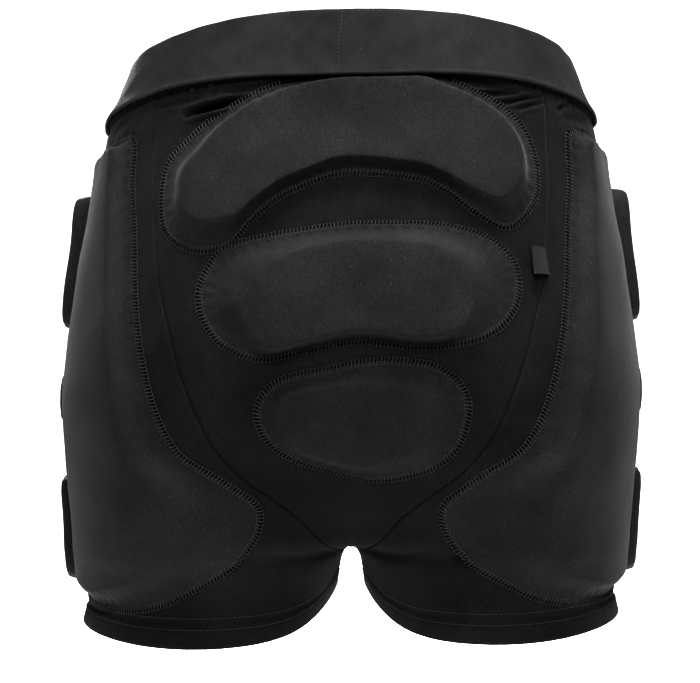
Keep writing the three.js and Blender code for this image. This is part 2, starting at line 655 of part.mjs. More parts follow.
// A pad on the body: a thin sewn edge, a sloping margin and a crowned top. locate gives the place on the
// body of a point of the pad's flat outline.
function pad(name, loop, { thickness, backRings }, locate) {
  const count = loop.length;
  const place = (height, shareOf) =>
    loop.map(({ edge, middle, slope }) => {
      const spot = locate(edge.clone().lerp(middle, shareOf(slope)));
      return bodyPoint(...spot).addScaledVector(bodyNormal(...spot), padClearance + height);
    });
  const rings = padTop.map(({ slope, crown, rise }) =>
    place(mix(padEdge, thickness, rise), (margin) => (crown === undefined ? margin * slope : mix(margin, 1, crown))),
  );
  for (let i = 0; i < backRings; i++) rings.unshift(place(0, () => i / (backRings - 0.5)));
  const triangles = [];
  for (let r = 0; r < rings.length - 1; r++) {
    for (let k = 0; k < count; k++) {
      const next = (k + 1) % count;
      triangles.push(...quad(rings[r][k], rings[r][next], rings[r + 1][next], rings[r + 1][k]));
    }
  }
  triangles.push(...zipped(rings[0], false), ...zipped(rings[rings.length - 1], true));
  return piece(name, closedBody(triangles), "padCloth");
}

// A pad that lies across the back.
function backPad(name, table, size) {
  const locate = (point) =>
    placeFromMiddle(size.drop + point.y * size.halfHeight, size.across + point.x * size.halfWidth);
  return pad(name, tableLoop(table, size, false), size, locate);
}

// A pad that stands upright beside the leg.
function uprightPad(name, loop, size, hand) {
  const locate = (point) =>
    placeAt(size.drop + point.x * size.halfHeight, size.across + point.y * size.halfWidth, hand);
  return pad(name, loop, size, locate);
}

// Closes a long narrow loop across its middle line.
function zipped(ring, up) {
  const count = ring.length;
  const triangles = [];
  for (let k = 0; k < count / 2; k++) {
    const [a, b, c, d] = [ring[k], ring[k + 1], ring[(count - k - 1) % count], ring[(count - k) % count]];
    if (a !== d) triangles.push([a, b, d]);
    if (b !== c) triangles.push([b, c, d]);
  }
  return up ? triangles : triangles.map(([a, b, c]) => [c, b, a]);
}

// A flat ribbon that stands away from the right seat seam, with its length along its own x axis.
function labelTag() {
  const place = [levelAt(labelDrop), seamTurns.back(labelDrop / rise), 1];
  const step = 0.01;
  const facing = bodyNormal(...place);
  const down = bodyPoint(place[0] + step, place[1], 1).sub(bodyPoint(...place)).normalize();
  const inwards = facing.clone().cross(down).normalize();
  if (inwards.x > 0) inwards.negate();
  const lean = THREE.MathUtils.degToRad(labelLean);
  const along = inwards.multiplyScalar(Math.cos(lean)).addScaledVector(facing, Math.sin(lean));
  const across = down.clone().negate().cross(along).normalize();
  const root = bodyPoint(...place).addScaledVector(facing, labelClearance);
  const mesh = piece("label_tag", new THREE.BoxGeometry(labelLength, labelThickness, labelHeight), "ribbon");
  mesh.geometry.translate(labelLength / 2, 0, 0);
  mesh.quaternion.setFromRotationMatrix(new THREE.Matrix4().makeBasis(along, across, down.negate()));
  mesh.position.copy(root);
  return mesh;
}

const shorts = new THREE.Group();
shorts.add(waistband(), ...clothPanels());
shorts.add(backPad("lumbar_pad", lumbarOutline, lumbarPad));
shorts.add(backPad("seat_pad", seatOutline, seatPad));
shorts.add(backPad("tailbone_pad", tailboneOutline, tailbonePad));
for (const [hand, side] of [[1, "right"], [-1, "left"]]) {
  shorts.add(hem(`hem_${side}`, hand));
  shorts.add(uprightPad(`hip_pad_${side}`, tableLoop(hipOutline, hipPad, true), hipPad, hand));
  for (const { name, drop, halfHeight, thick, steps } of sidePads) {
    const size = {
      drop: drop * rise,
      across: sidePadBack - sidePadWidth / 2,
      halfWidth: sidePadWidth / 2,
      halfHeight: halfHeight * rise,
      thickness: thick * sidePadThickness,
      steps,
      ...sidePadMesh,
    };
    const loop = roundedLoop(sidePadCorner, sidePadMargin, size);
    shorts.add(uprightPad(`side_pad_${name}_${side}`, loop, size, hand));
  }
}
shorts.add(labelTag());

export default shorts;
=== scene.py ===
"""Padded sports shorts that guard the tailbone, seat, lower back, hips and thighs.

The shapes are worked out in millimetres on the same body as the solids: +Z up, +Y towards the
wearer's front, +X towards the wearer's right, origin in the middle of the waist.
"""
import math

import bpy
import numpy as np
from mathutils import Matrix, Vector


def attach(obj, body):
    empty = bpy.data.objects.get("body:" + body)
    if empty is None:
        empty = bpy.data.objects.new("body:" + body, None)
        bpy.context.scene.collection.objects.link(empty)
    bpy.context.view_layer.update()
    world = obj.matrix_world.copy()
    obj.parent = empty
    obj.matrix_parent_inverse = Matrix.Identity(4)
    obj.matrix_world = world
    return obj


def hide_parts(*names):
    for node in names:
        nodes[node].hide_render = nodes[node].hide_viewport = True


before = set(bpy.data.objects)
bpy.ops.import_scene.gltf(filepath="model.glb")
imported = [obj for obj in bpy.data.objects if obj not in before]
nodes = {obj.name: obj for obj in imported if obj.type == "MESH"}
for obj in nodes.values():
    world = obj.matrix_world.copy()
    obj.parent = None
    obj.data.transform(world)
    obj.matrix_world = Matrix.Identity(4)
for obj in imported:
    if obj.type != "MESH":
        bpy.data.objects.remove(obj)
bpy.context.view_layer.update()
MM = 0.001

# Sizes
WAIST_WIDTH, WAIST_BACK, WAIST_FRONT = 292, 95, 93
HIP_WIDTH, SEAT_DEPTH, BELLY_DEPTH = 367, 130, 110
RISE, INSEAM, LEG_GAP = 279, 48, 9.5
WAIST_TILT, TILT_POWER = 23, 1.35
HEM_DIP, HEM_INNER_RISE, HEM_INNER_POWER, SIDE_LIFT, BULGE = 9, 20, 6, 3, 0.575
FABRIC, SEAM_GAP = 2.0, 0.4
BAND_HEIGHT, BAND_THICKNESS, BAND_CLEARANCE, BAND_TUCK = 41, 2.6, 0.6, 6
HEM_HEIGHT, HEM_THICKNESS, HEM_PROUD = 12, 3, 0.5
GUSSET_REACH = 16
SIDE_PAD_WIDTH, SIDE_PAD_BACK = 84, 5


def table(header, *rows):
    """Columns by name."""
    return dict(zip(header.split(), np.array(rows, float).T))


# level is -1 at the waistband's top edge, 0 at its lower edge, 1 at the crotch and 2 at the hem.
SECTIONS = table(
    "level hip seat seatAt belly bellyAt apart gap tilt",
    (-1, 0, 0, 0.06, 0, 0.2, 0, 0, 1.08),
    (0, 0.47, 0.23, 0.3, 0.45, 0.32, 0, 0, 1),
    (0.08, 0.575, 0.27, 0.31, 0.6, 0.33, 0, 0, 0.92),
    (0.24, 0.645, 0.6, 0.34, 0.92, 0.35, 0, 0, 0.66),
    (0.42, 0.81, 0.9, 0.39, 1, 0.38, 0, 0, 0.4),
    (0.55, 0.935, 1, 0.42, 0.9, 0.42, 0, 0, 0.24),
    (0.64, 1, 0.96, 0.44, 0.78, 0.44, 0, 0, 0.14),
    (0.8, 0.93, 0.74, 0.47, 0.5, 0.48, 0.12, 0, 0.03),
    (0.95, 0.84, 0.46, 0.49, 0.28, 0.5, 0.55, 0, 0),
    (1, 0.82, 0.38, 0.5, 0.22, 0.51, 0.85, 0, 0),
    (1.05, 0.81, 0.33, 0.5, 0.18, 0.51, 1, 0.46, 0),
    (1.3, 0.795, 0.2, 0.51, 0.05, 0.52, 1, 0.61, 0),
    (1.6, 0.81, 0.12, 0.52, -0.03, 0.52, 1, 0.75, 0),
    (2, 0.93, 0.06, 0.53, -0.1, 0.53, 1, 1, 0),
)
UNDER_BACK, UNDER_FRONT = (0.6, 2.6), (0.58, 2.2)
SEAT_SEAMS = table(
    "down turn middle",
    (-0.2, 0.41, -0.2), (0.15, 0.44, 0.15), (0.39, 0.51, 0.39), (0.5, 0.56, 0.5), (0.62, 0.61, 0.62),
    (0.75, 0.675, 0.75), (0.82, 0.74, 0.82), (0.87, 0.81, 0.865), (0.93, 0.875, 0.92),
    (0.97, 0.89, 0.965), (1, 0.9, 0.99), (1.4, 0.945, 0.998), (2, 1, 1),
)
FRONT_SEAMS = table(
    "down turn middle",
    (-0.2, 0.44, -0.2), (0.42, 0.5, 0.42), (0.7, 0.64, 0.7), (0.85, 0.79, 0.84), (0.93, 0.87, 0.92),
    (0.97, 0.89, 0.965), (1, 0.9, 0.99), (1.4, 0.945, 0.998), (2, 1, 1),
)

# Pad outlines: along from end to end, near and far edges as shares of the half size across it, and the
# widths of the sloping margins as shares of the way to the pad's middle line.
OUTLINE = "along near far near_slope far_slope"
LUMBAR_OUTLINE = table(
    OUTLINE,
    (-1, 0.36, 0.36, 0.6, 0.6), (-0.97, -0.09, 0.7, 0.56, 0.5), (-0.87, -0.32, 0.91, 0.48, 0.36),
    (-0.75, -0.53, 1, 0.36, 0.3), (-0.63, -0.68, 0.96, 0.26, 0.28), (-0.5, -0.84, 0.64, 0.18, 0.25),
    (-0.33, -0.98, 0.34, 0.1, 0.2), (0, -1.04, 0.11, 0.08, 0.18), (0.36, -1.04, 0.19, 0.1, 0.2),
    (0.51, -0.98, 0.36, 0.14, 0.24), (0.66, -0.85, 0.62, 0.2, 0.28), (0.8, -0.7, 0.77, 0.28, 0.3),
    (0.93, -0.43, 0.57, 0.4, 0.4), (1, 0.17, 0.17, 0.5, 0.5),
)
SEAT_OUTLINE = table(
    OUTLINE,
    (-1, 0.03, 0.03, 0.84, 0.84), (-0.96, -0.3, 0.43, 0.8, 0.66), (-0.83, -0.68, 0.81, 0.66, 0.42),
    (-0.6, -0.82, 1, 0.46, 0.18), (-0.34, -0.92, 0.89, 0.36, 0.1), (0, -1, 0.76, 0.34, 0.08),
    (0.4, -0.98, 0.86, 0.36, 0.1), (0.7, -0.86, 0.78, 0.5, 0.26), (0.86, -0.68, 0.6, 0.7, 0.55),
    (0.97, -0.4, 0.27, 0.84, 0.8), (1, -0.05, -0.05, 0.87, 0.87),
)
TAILBONE_OUTLINE = table(
    OUTLINE,
    (-1, -0.17, -0.17, 0.4, 0.4), (-0.77, -0.71, 0.49, 0.35, 0.35), (-0.3, -0.88, 0.82, 0.35, 0.3),
    (0.15, -1, 1, 0.4, 0.36), (0.6, -0.93, 0.85, 0.5, 0.46), (0.86, -0.71, 0.54, 0.7, 0.66),
    (1, -0.2, -0.2, 0.85, 0.85),
)
HIP_OUTLINE = table(
    OUTLINE,
    (-1, 0.28, 0.28, 0.4, 0.4), (-0.985, 0.4, 0.08, 0.4, 0.2), (-0.8, 0.44, 0.05, 0.4, 0.12),
    (-0.43, 0.555, 0.05, 0.36, 0.12), (0.04, 0.7, 0.05, 0.38, 0.12), (0.31, 0.78, 0.05, 0.46, 0.12),
    (0.44, 0.91, 0.05, 0.54, 0.12), (0.56, 1, 0.05, 0.62, 0.12), (0.75, 0.92, 0.05, 0.62, 0.12),
    (0.88, 0.75, 0.05, 0.6, 0.2), (0.985, 0.51, 0.1, 0.85, 0.7), (1, 0.3, 0.3, 0.88, 0.88),
)


class Pad:
    """A sewn-on pad. The back pads are placed from the middle of the back, the others from the side."""

    def __init__(self, name, drop, across, half_width, half_height, thickness, spine, outline=None, hand=0, soft=0.0):
        self.name, self.drop, self.across, self.hand, self.soft = name, drop, across, hand, soft
        self.half_width, self.half_height = half_width, half_height
        self.thickness, self.spine, self.outline = thickness, spine, outline


BACK_PADS = (
    Pad("lumbar_pad", 50, -1, 121, 47, 12, 0.72, LUMBAR_OUTLINE),
    Pad("seat_pad", 121, 5, 99, 37, 12, 0.66, SEAT_OUTLINE),
    Pad("tailbone_pad", 195, 7, 65, 35, 5.6, 0.5, TAILBONE_OUTLINE, soft=0.8),
)
HANDS = (("right", 1), ("left", -1))
HIP_PADS = tuple(Pad(f"hip_pad_{side}", 166, 0, 194, 145, 11, 0.92, HIP_OUTLINE, hand) for side, hand in HANDS)
SIDE_ROWS = (("upper", 86, 52, 23), ("middle", 179, 17, 17), ("lower", 268, 41, 21))
SIDE_PADS = tuple(
    Pad(f"side_pad_{row}_{side}", drop, SIDE_PAD_BACK - SIDE_PAD_WIDTH / 2, SIDE_PAD_WIDTH / 2, half, thick, 0.7, hand=hand)
    for side, hand in HANDS for row, drop, half, thick in SIDE_ROWS
)

# Drag folds under the waistband: from one end to the other, in millimetres round from the middle of the
# back and down from the waistband, with their depth and half width.
FOLDS = table(
    "across down to_across to_down depth width",
    (-106, 17.2, -69, 12.8, 8.0, 1.7),
    (-132, 8, -97, 9, 1.7, 1.6),
    (-78, 7, -18, 2.6, 2.8, 1.8),
    (60, 3, 106, 5, 3.2, 1.8),
    (83, 10.8, 109, 7, 3.6, 1.4),
    (94, 15.2, 125, 6, 3.4, 1.3),
    (106, 16.6, 127, 9, 2.6, 1.3),
    (139, 12, 149, 5, 2.2, 1.5),
    (146, 16, 172, 9, 1.5, 3.0),
    (150, 25, 176, 21, 1.1, 3.5),
    (-176, 12, -152, 7, 1.0, 3.0),
)


# Body
def mix(a, b, t):
    return a + (b - a) * t


def curve(rows, key, name):
    """Smooth curve through a column, which never overshoots its values."""
    x, y = rows[key], rows[name]
    slope = np.diff(y) / np.diff(x)
    ahead, behind = slope[1:], slope[:-1]
    together = ahead * behind > 0
    tangent = np.r_[slope[0], np.where(together, 2 * ahead * behind / np.where(together, ahead + behind, 1), 0), slope[-1]]

    def at(value):
        value = np.asarray(value, float)
        i = np.clip(np.searchsorted(x, value) - 1, 0, len(x) - 2)
        span = x[i + 1] - x[i]
        t = np.clip((value - x[i]) / span, 0, 1)
        rest = 1 - t
        start = y[i] * (1 + 2 * t) + tangent[i] * span * t
        end = y[i + 1] * (1 + 2 * rest) - tangent[i + 1] * span * rest
        return start * rest * rest + end * t * t

    return at


section_at = {name: curve(SECTIONS, "level", name) for name in SECTIONS}


def side_height(level):
    top = -BAND_HEIGHT / 2
    trunk = np.where(level < 0, top - level * BAND_HEIGHT, top - level * RISE)
    return np.where(level < 1, trunk, top - RISE - (level - 1) * INSEAM)


def level_at(drop):
    drop = np.asarray(drop, float)
    return np.where(drop < 0, drop / BAND_HEIGHT, np.where(drop < RISE, drop / RISE, 1 + (drop - RISE) / INSEAM))


def drop_at(level):
    return -BAND_HEIGHT / 2 - side_height(level)


def under(level, shape):
    start, power = shape
    share = np.clip((level - start) / (1 - start), 0, 1)
    return (1 - share**power) ** (1 / power)


def bezier(points, t):
    """points (n, 4, 2) at t (n, m)."""
    a, b, c, d = (points[:, k, None, :] for k in range(4))
    t = t[..., None]
    s = 1 - t
    return a * s**3 + 3 * b * s * s * t + 3 * c * s * t * t + d * t**3


QUARTER = 24


def half_sections(level, behind):
    """Two quarters of each section, and a function from the share of their length to points."""
    value = {name: at(level) for name, at in section_at.items()}
    half = mix(WAIST_WIDTH, HIP_WIDTH, value["hip"]) / 2
    depth = np.where(
        behind, mix(WAIST_BACK, SEAT_DEPTH, value["seat"]), mix(WAIST_FRONT, BELLY_DEPTH, value["belly"])
    )
    peak = half * np.where(behind, value["seatAt"], value["bellyAt"])
    middle = depth * np.where(behind, under(level, UNDER_BACK), under(level, UNDER_FRONT))
    inside = LEG_GAP * value["gap"]
    apart = value["apart"]

    def corners(*pairs):
        return np.stack([np.stack(np.broadcast_arrays(x, y, half)[:2], -1) for x, y in pairs], 1)

    outer = corners((half, 0), (half, depth * BULGE), (mix(peak, half, BULGE), depth), (peak, depth))
    inner = corners(
        (peak, depth),
        (mix(peak, inside, BULGE), depth),
        (mix(mix(inside, peak, BULGE), inside, apart), mix(middle, depth, BULGE * apart)),
        (inside, middle),
    )
    sign = np.where(behind, 1.0, -1.0)

    def lifted(flat):
        to_back = sign[:, None] * flat[..., 1] / depth[:, None]
        deep = level[:, None]
        dip = np.where(deep > 1, HEM_DIP * (deep - 1) ** 2 * np.maximum(0, to_back) ** 2, 0)
        tilted = np.sign(to_back) * np.abs(to_back) ** TILT_POWER
        inward = np.maximum(0, (peak[:, None] - flat[..., 0]) / (peak - inside)[:, None])
        rise = HEM_INNER_RISE * np.clip((deep - 1) / (1 - HEM_HEIGHT / INSEAM), 0, 1) * inward**HEM_INNER_POWER
        height = side_height(deep) + WAIST_TILT * value["tilt"][:, None] * tilted - dip + rise
        return np.stack([flat[..., 0], -sign[:, None] * flat[..., 1], height], -1)

    steps = np.tile(np.linspace(0, 1, QUARTER + 1), (len(level), 1))
    samples = lifted(np.concatenate([bezier(outer, steps), bezier(inner, steps)[:, 1:]], 1))
    run = np.concatenate([np.zeros((len(level), 1)), np.cumsum(np.linalg.norm(np.diff(samples, axis=1), axis=2), 1)], 1)

    def point_at(share):
        target = share * run[:, -1]
        i = np.clip((run < target[:, None]).sum(1) - 1, 0, 2 * QUARTER - 1)
        rows = np.arange(len(level))
        part = i + (target - run[rows, i]) / (run[rows, i + 1] - run[rows, i])
        t = np.where(part <= QUARTER, part, part - QUARTER)[:, None] / QUARTER
        flat = np.where((part <= QUARTER)[:, None, None], bezier(outer, t), bezier(inner, t))
        return lifted(flat)[:, 0]

    return run[:, -1], point_at


def body(level, turn, hand):
    """Points of the body. turn is 0 at the side, 1 at the middle of the back and -1 at that of the front."""
    level, turn, hand = (np.array(v, float) for v in np.broadcast_arrays(level, turn, hand))
    shape = level.shape
    level, turn, hand = level.ravel(), turn.ravel(), hand.ravel()
    past = np.abs(turn) > 1
    beyond = turn - 2 * np.sign(turn)
    trunk = past & (level < 1)
    turn = np.where(past, np.where(level < 1, -beyond, beyond), turn)
    hand = np.where(trunk, -hand, hand)
    _, point_at = half_sections(level, turn >= 0)
    points = point_at(np.abs(turn))
    points[:, 0] *= hand
    points[:, 2] += SIDE_LIFT * points[:, 0] / (HIP_WIDTH / 2)
    return points.reshape(*shape, 3)


def unit(vectors):
    return vectors / np.maximum(np.linalg.norm(vectors, axis=-1, keepdims=True), 1e-9)


def facing(level, turn, hand):
    step = 0.01
    around = body(level, turn + step, hand) - body(level, turn - step, hand)
    down = body(level + step, turn, hand) - body(level - step, turn, hand)
    return unit(np.cross(around, down) * np.asarray(hand, float)[..., None])


LEVELS = np.r_[np.linspace(-1, 0.999, 200), np.linspace(1, 2, 60)]
back_lengths = half_sections(LEVELS, np.full(len(LEVELS), True))[0]
front_lengths = half_sections(LEVELS, np.full(len(LEVELS), False))[0]


def back_length(level):
    return np.interp(level, LEVELS, back_lengths)


def front_length(level):
    return np.interp(level, LEVELS, front_lengths)


def from_middle(drop, across):
    """Level, turn and hand of a place round from the middle of the back."""
    level = level_at(drop)
    return level, 1 - np.abs(across) / back_length(level), np.where(across < 0, -1.0, 1.0)


def from_side(drop, backwards, hand):
    level = level_at(drop)
    length = np.where(backwards < 0, front_length(level), back_length(level))
    return level, backwards / length, np.full(np.shape(level), float(hand))


def ripple(points, size, seed, layers=5):
    """Smooth uneven height from -1 to 1 over points of any dimension."""
    rng = np.random.default_rng(seed)
    points = np.asarray(points, float)
    total = np.zeros(points.shape[:-1])
    for _ in range(layers):
        way = unit(rng.normal(size=points.shape[-1])) * rng.uniform(0.6, 1.5) * 2 * math.pi / size
        total += np.sin(points @ way + rng.uniform(0, 2 * math.pi))
    return total / layers**0.5 / 1.4


# Pad outlines
def pad_edges(pad):
    """Near and far edge, middle line and margins of a pad, as functions of the angle from end to end."""
    if pad.outline is None:
        power = 4.4

        def bend(v):
            return np.sign(v) * np.abs(v) ** (2 / power)

        edges = [lambda a, s=s: np.stack([-bend(np.cos(a)), s * bend(np.sin(a))], -1) for s in (-1, 1)]
        middle = lambda a: np.stack([-bend(np.cos(a)) * pad.spine, 0 * a], -1)
        slopes = [lambda a: np.full(np.shape(a), 0.34)] * 2
        return edges, middle, slopes
    rows = dict(pad.outline, angle=np.arccos(-pad.outline["along"]))
    near, far, near_slope, far_slope = (curve(rows, "angle", n) for n in OUTLINE.split()[1:])
    edges = [lambda a, side=side: np.stack([-np.cos(a), side(a)], -1) for side in (near, far)]

    def middle(a):
        inner = np.arccos(pad.spine * np.cos(a))
        return np.stack([-np.cos(inner), (near(inner) + far(inner)) / 2], -1)

    return edges, middle, [near_slope, far_slope]


def pad_loop(pad, spacing):
    """Edge points, points on the middle line and margin shares of a pad's outline, in millimetres."""
    upright = pad.hand != 0
    scale = np.array([pad.half_height, pad.half_width] if upright else [pad.half_width, pad.half_height])
    edges, middle_at, slopes = pad_edges(pad)
    fine = np.linspace(0, math.pi, 1201)
    run = np.zeros(len(fine))
    for edge in edges:
        run[1:] += np.cumsum(np.linalg.norm(np.diff(edge(fine) * scale, axis=0), axis=1))
    steps = max(8, round(run[-1] / 2 / spacing))
    measure = run / run[-1] + np.linspace(0, 1, len(fine)) * 0.6
    angles = np.interp(np.linspace(0, measure[-1], steps + 1), measure, fine)
    near, far = (
        np.concatenate([edge(angles) * scale, middle_at(angles) * scale, slope(angles)[:, None]], 1)
        for edge, slope in zip(edges, slopes)
    )
    loop = np.concatenate([near, far[1:-1][::-1]])
    return loop[:, :2], loop[:, 2:4], loop[:, 4]


def pad_place(pad, flat):
    """Level, turn and hand of flat pad points, whose first column runs along the pad."""
    if pad.hand:
        return from_side(pad.drop + flat[..., 0], pad.across + flat[..., 1], pad.hand)
    return from_middle(pad.drop + flat[..., 1], pad.across + flat[..., 0])


def on_cloth(place, height):
    """Points that stand off the cloth at a place."""
    return body(*place) + facing(*place) * np.asarray(height, float)[..., None]


def nearest(points, loop):
    """Distance from flat points to a closed loop, and how far round the loop that is."""
    start, end = loop, np.roll(loop, -1, 0)
    run = end - start
    length = np.linalg.norm(run, axis=1)
    at = np.r_[0, np.cumsum(length)[:-1]]
    best = np.full(len(points), 1e9)
    round_at = np.zeros(len(points))
    for k in range(len(loop)):
        share = np.clip((points - start[k]) @ run[k] / length[k] ** 2, 0, 1)
        away = np.linalg.norm(points - start[k] - share[:, None] * run[k], axis=1)
        closer = away < best
        best[closer] = away[closer]
        round_at[closer] = at[k] + share[closer] * length[k]
    return best, round_at, length.sum()


def inside(points, loop):
    """Which flat points lie inside a closed loop."""
    x, y = points[:, 0], points[:, 1]
    result = np.zeros(len(points), bool)
    for (x0, y0), (x1, y1) in zip(loop, np.roll(loop, -1, 0)):
        crosses = (y0 > y) != (y1 > y)
        with np.errstate(divide="ignore", invalid="ignore"):
            result ^= crosses & (x < (x1 - x0) * (y - y0) / (y1 - y0) + x0)
    return result


# Meshes
def new_mesh(name, points, faces, flat=None, **marks):
    """An object from points in millimetres, with a flat layout in metres for its cloth's pattern."""
    mesh = bpy.data.meshes.new(name)
    faces = faces.tolist() if isinstance(faces, np.ndarray) else faces
    mesh.from_pydata((np.asarray(points) * MM).tolist(), [], faces)
    mesh.polygons.foreach_set("use_smooth", [True] * len(mesh.polygons))
    if flat is not None:
        mark = mesh.attributes.new("flat", "FLOAT_VECTOR", "POINT")
        mark.data.foreach_set("vector", np.column_stack([flat, np.zeros(len(flat))]).ravel() * MM)
    for key, values in marks.items():
        mesh.attributes.new(key, "FLOAT", "POINT").data.foreach_set("value", np.asarray(values, float))
    made = bpy.data.objects.new(name, mesh)
    bpy.context.scene.collection.objects.link(made)
    return made


def lay_flat(made, upright=False):
    """Turns the flat layout kept at the points into the piece's UV map, in metres."""
    mesh = made.data
    flat = np.empty(len(mesh.vertices) * 3)
    mesh.attributes["flat"].data.foreach_get("vector", flat)
    corner = np.empty(len(mesh.loops), np.int32)
    mesh.loops.foreach_get("vertex_index", corner)
    start = np.empty(len(mesh.polygons), np.int32)
    mesh.polygons.foreach_get("loop_start", start)
    uv = flat.reshape(-1, 3)[corner, :2]
    uv = uv[:, ::-1].copy() if upright else uv
    count = np.diff(np.r_[start, len(corner)])
    low, high = (np.repeat(f.reduceat(uv[:, 0], start), count) for f in (np.minimum, np.maximum))
    uv[(high - low > 0.15) & (uv[:, 0] < (low + high) / 2), 0] += np.ptp(uv[:, 0])
    layer = mesh.uv_layers.new(name="cloth")
    layer.data.foreach_set("uv", uv.ravel().astype(np.float32))
    mesh.attributes.remove(mesh.attributes["flat"])


def points_of(mesh):
    points = np.empty(len(mesh.vertices) * 3)
    mesh.vertices.foreach_get("co", points)
    return points.reshape(-1, 3)


def normals_of(mesh):
    normals = np.empty(len(mesh.vertices) * 3, np.float32)
    mesh.vertex_normals.foreach_get("vector", normals)
    return normals.reshape(-1, 3).astype(float)


def baked(made):
    """Applies all of a piece's modifiers."""
    graph = bpy.context.evaluated_depsgraph_get()
    mesh = bpy.data.meshes.new_from_object(made.evaluated_get(graph), depsgraph=graph)
    made.modifiers.clear()
    old, made.data = made.data, mesh
    mesh.name = made.name
    bpy.data.meshes.remove(old)
    return made


def wall_faces(rows, columns, ring=False):
    """Quads of a closed wall whose outer net comes first and inner net second."""
    size = rows * columns
    index = np.arange(size).reshape(rows, columns)
    if ring:
        index = np.concatenate([index, index[:, :1]], 1)
    a, b, c, d = index[:-1, :-1], index[:-1, 1:], index[1:, 1:], index[1:, :-1]
    outer = np.stack([a, b, c, d], -1).reshape(-1, 4)
    inner = outer[:, ::-1] + size
    rims = []
    edges = [index[0, ::-1], index[-1]]
    if not ring:
        edges += [index[:, 0], index[::-1, -1]]
    for edge in edges:
        rims.append(np.stack([edge[1:], edge[:-1], edge[:-1] + size, edge[1:] + size], -1))
    return np.concatenate([outer, inner, *rims])


def outwards(faces, points):
    """Turns all faces of a closed mesh over if they point inwards."""
    a, b, c, d = (points[faces[:, k]] for k in range(4))
    volume = np.einsum("ij,ij->i", a, np.cross(b, c)).sum() + np.einsum("ij,ij->i", a, np.cross(c, d)).sum()
    return faces if volume > 0 else faces[:, ::-1]


def net_normals(net, ring=False):
    """Normals of a net of points, by its neighbours."""
    if ring:
        padded = np.concatenate([net[:, -1:], net, net[:, :1]], 1)
        across = (padded[:, 2:] - padded[:, :-2]) / 2
    else:
        across = np.gradient(net, axis=1)
    return unit(np.cross(np.gradient(net, axis=0), across))


# Cloth panels
def seam_level(down):
    trunk = np.where(down < 0, down * RISE / BAND_HEIGHT, down)
    return np.where(down < 1, trunk, 1 + (down - 1) * GUSSET_REACH / INSEAM)


seam_turn = {True: curve(SEAT_SEAMS, "down", "turn"), False: curve(FRONT_SEAMS, "down", "turn")}
seam_middle = {True: curve(SEAT_SEAMS, "down", "middle"), False: curve(FRONT_SEAMS, "down", "middle")}
CUT_ROWS = np.r_[
    np.linspace(-BAND_TUCK / RISE, 0.12, 32), np.linspace(0.12, 0.94, 84)[1:],
    0.95, 0.958, 0.965, 0.971, 0.977, 0.982, 0.987, 0.992, 0.996, 1, np.linspace(1, 2, 10)[1:],
]
LEG_END = 2 - (HEM_HEIGHT - 0.7) / INSEAM
SEAM_EDGE = np.array([0, 0.5, 1.1, 1.9, 3.0, 4.4])


def cut_shares(width, count, both):
    """Shares across each row, closer together at its seams."""
    near = SEAM_EDGE * np.minimum(1, width / 16)[:, None] / width[:, None]
    end = 1 - near[:, -1] if both else np.ones(len(width))
    steps = np.linspace(0, 1, count + 1)[1:]
    rest = near[:, -1:] + (end - near[:, -1])[:, None] * steps
    if both:
        return np.concatenate([near, rest, 1 - near[:, -2::-1]], 1)
    return np.concatenate([near, rest], 1)


def fold_height(across, down):
    """How far drag folds push the cloth in and their lips push it out."""
    total = np.zeros(across.shape)
    for a, d, to_a, to_d, depth, width in zip(*FOLDS.values()):
        run = np.array([to_a - a, to_d - d])
        share = np.clip(((across - a) * run[0] + (down - d) * run[1]) / (run @ run), 0, 1)
        away = np.hypot(across - a - share * run[0], down - d - share * run[1]) / width
        deep = depth * np.sin(math.pi * (0.06 + 0.88 * share)) ** 0.8
        total += deep * (0.26 * np.exp(-((away - 2.1) ** 2)) - np.exp(-(away**2)))
    return total


def gathers(round_at, down):
    """Ruching where the cloth is drawn into the waistband."""
    strength = 0.12 + 1.15 * np.exp(-(((round_at + 92) / 28) ** 2)) + 0.4 * np.exp(-(((round_at - 104) / 30) ** 2))
    strength += 0.2 * np.exp(-(((np.abs(round_at) - 158) / 22) ** 2))
    strength *= 1 - 0.8 * np.exp(-((round_at / 58) ** 4))
    sway = ripple(np.stack([round_at, down * 2], -1), 34, 5)
    ridge = np.sin(2 * math.pi * round_at / 6.1 + 2.2 * sway) + 0.7 * np.sin(2 * math.pi * round_at / 10.3 + 3 * sway)
    return strength * 0.8 * ridge * np.exp(-(np.maximum(down, 0) / 6.5))


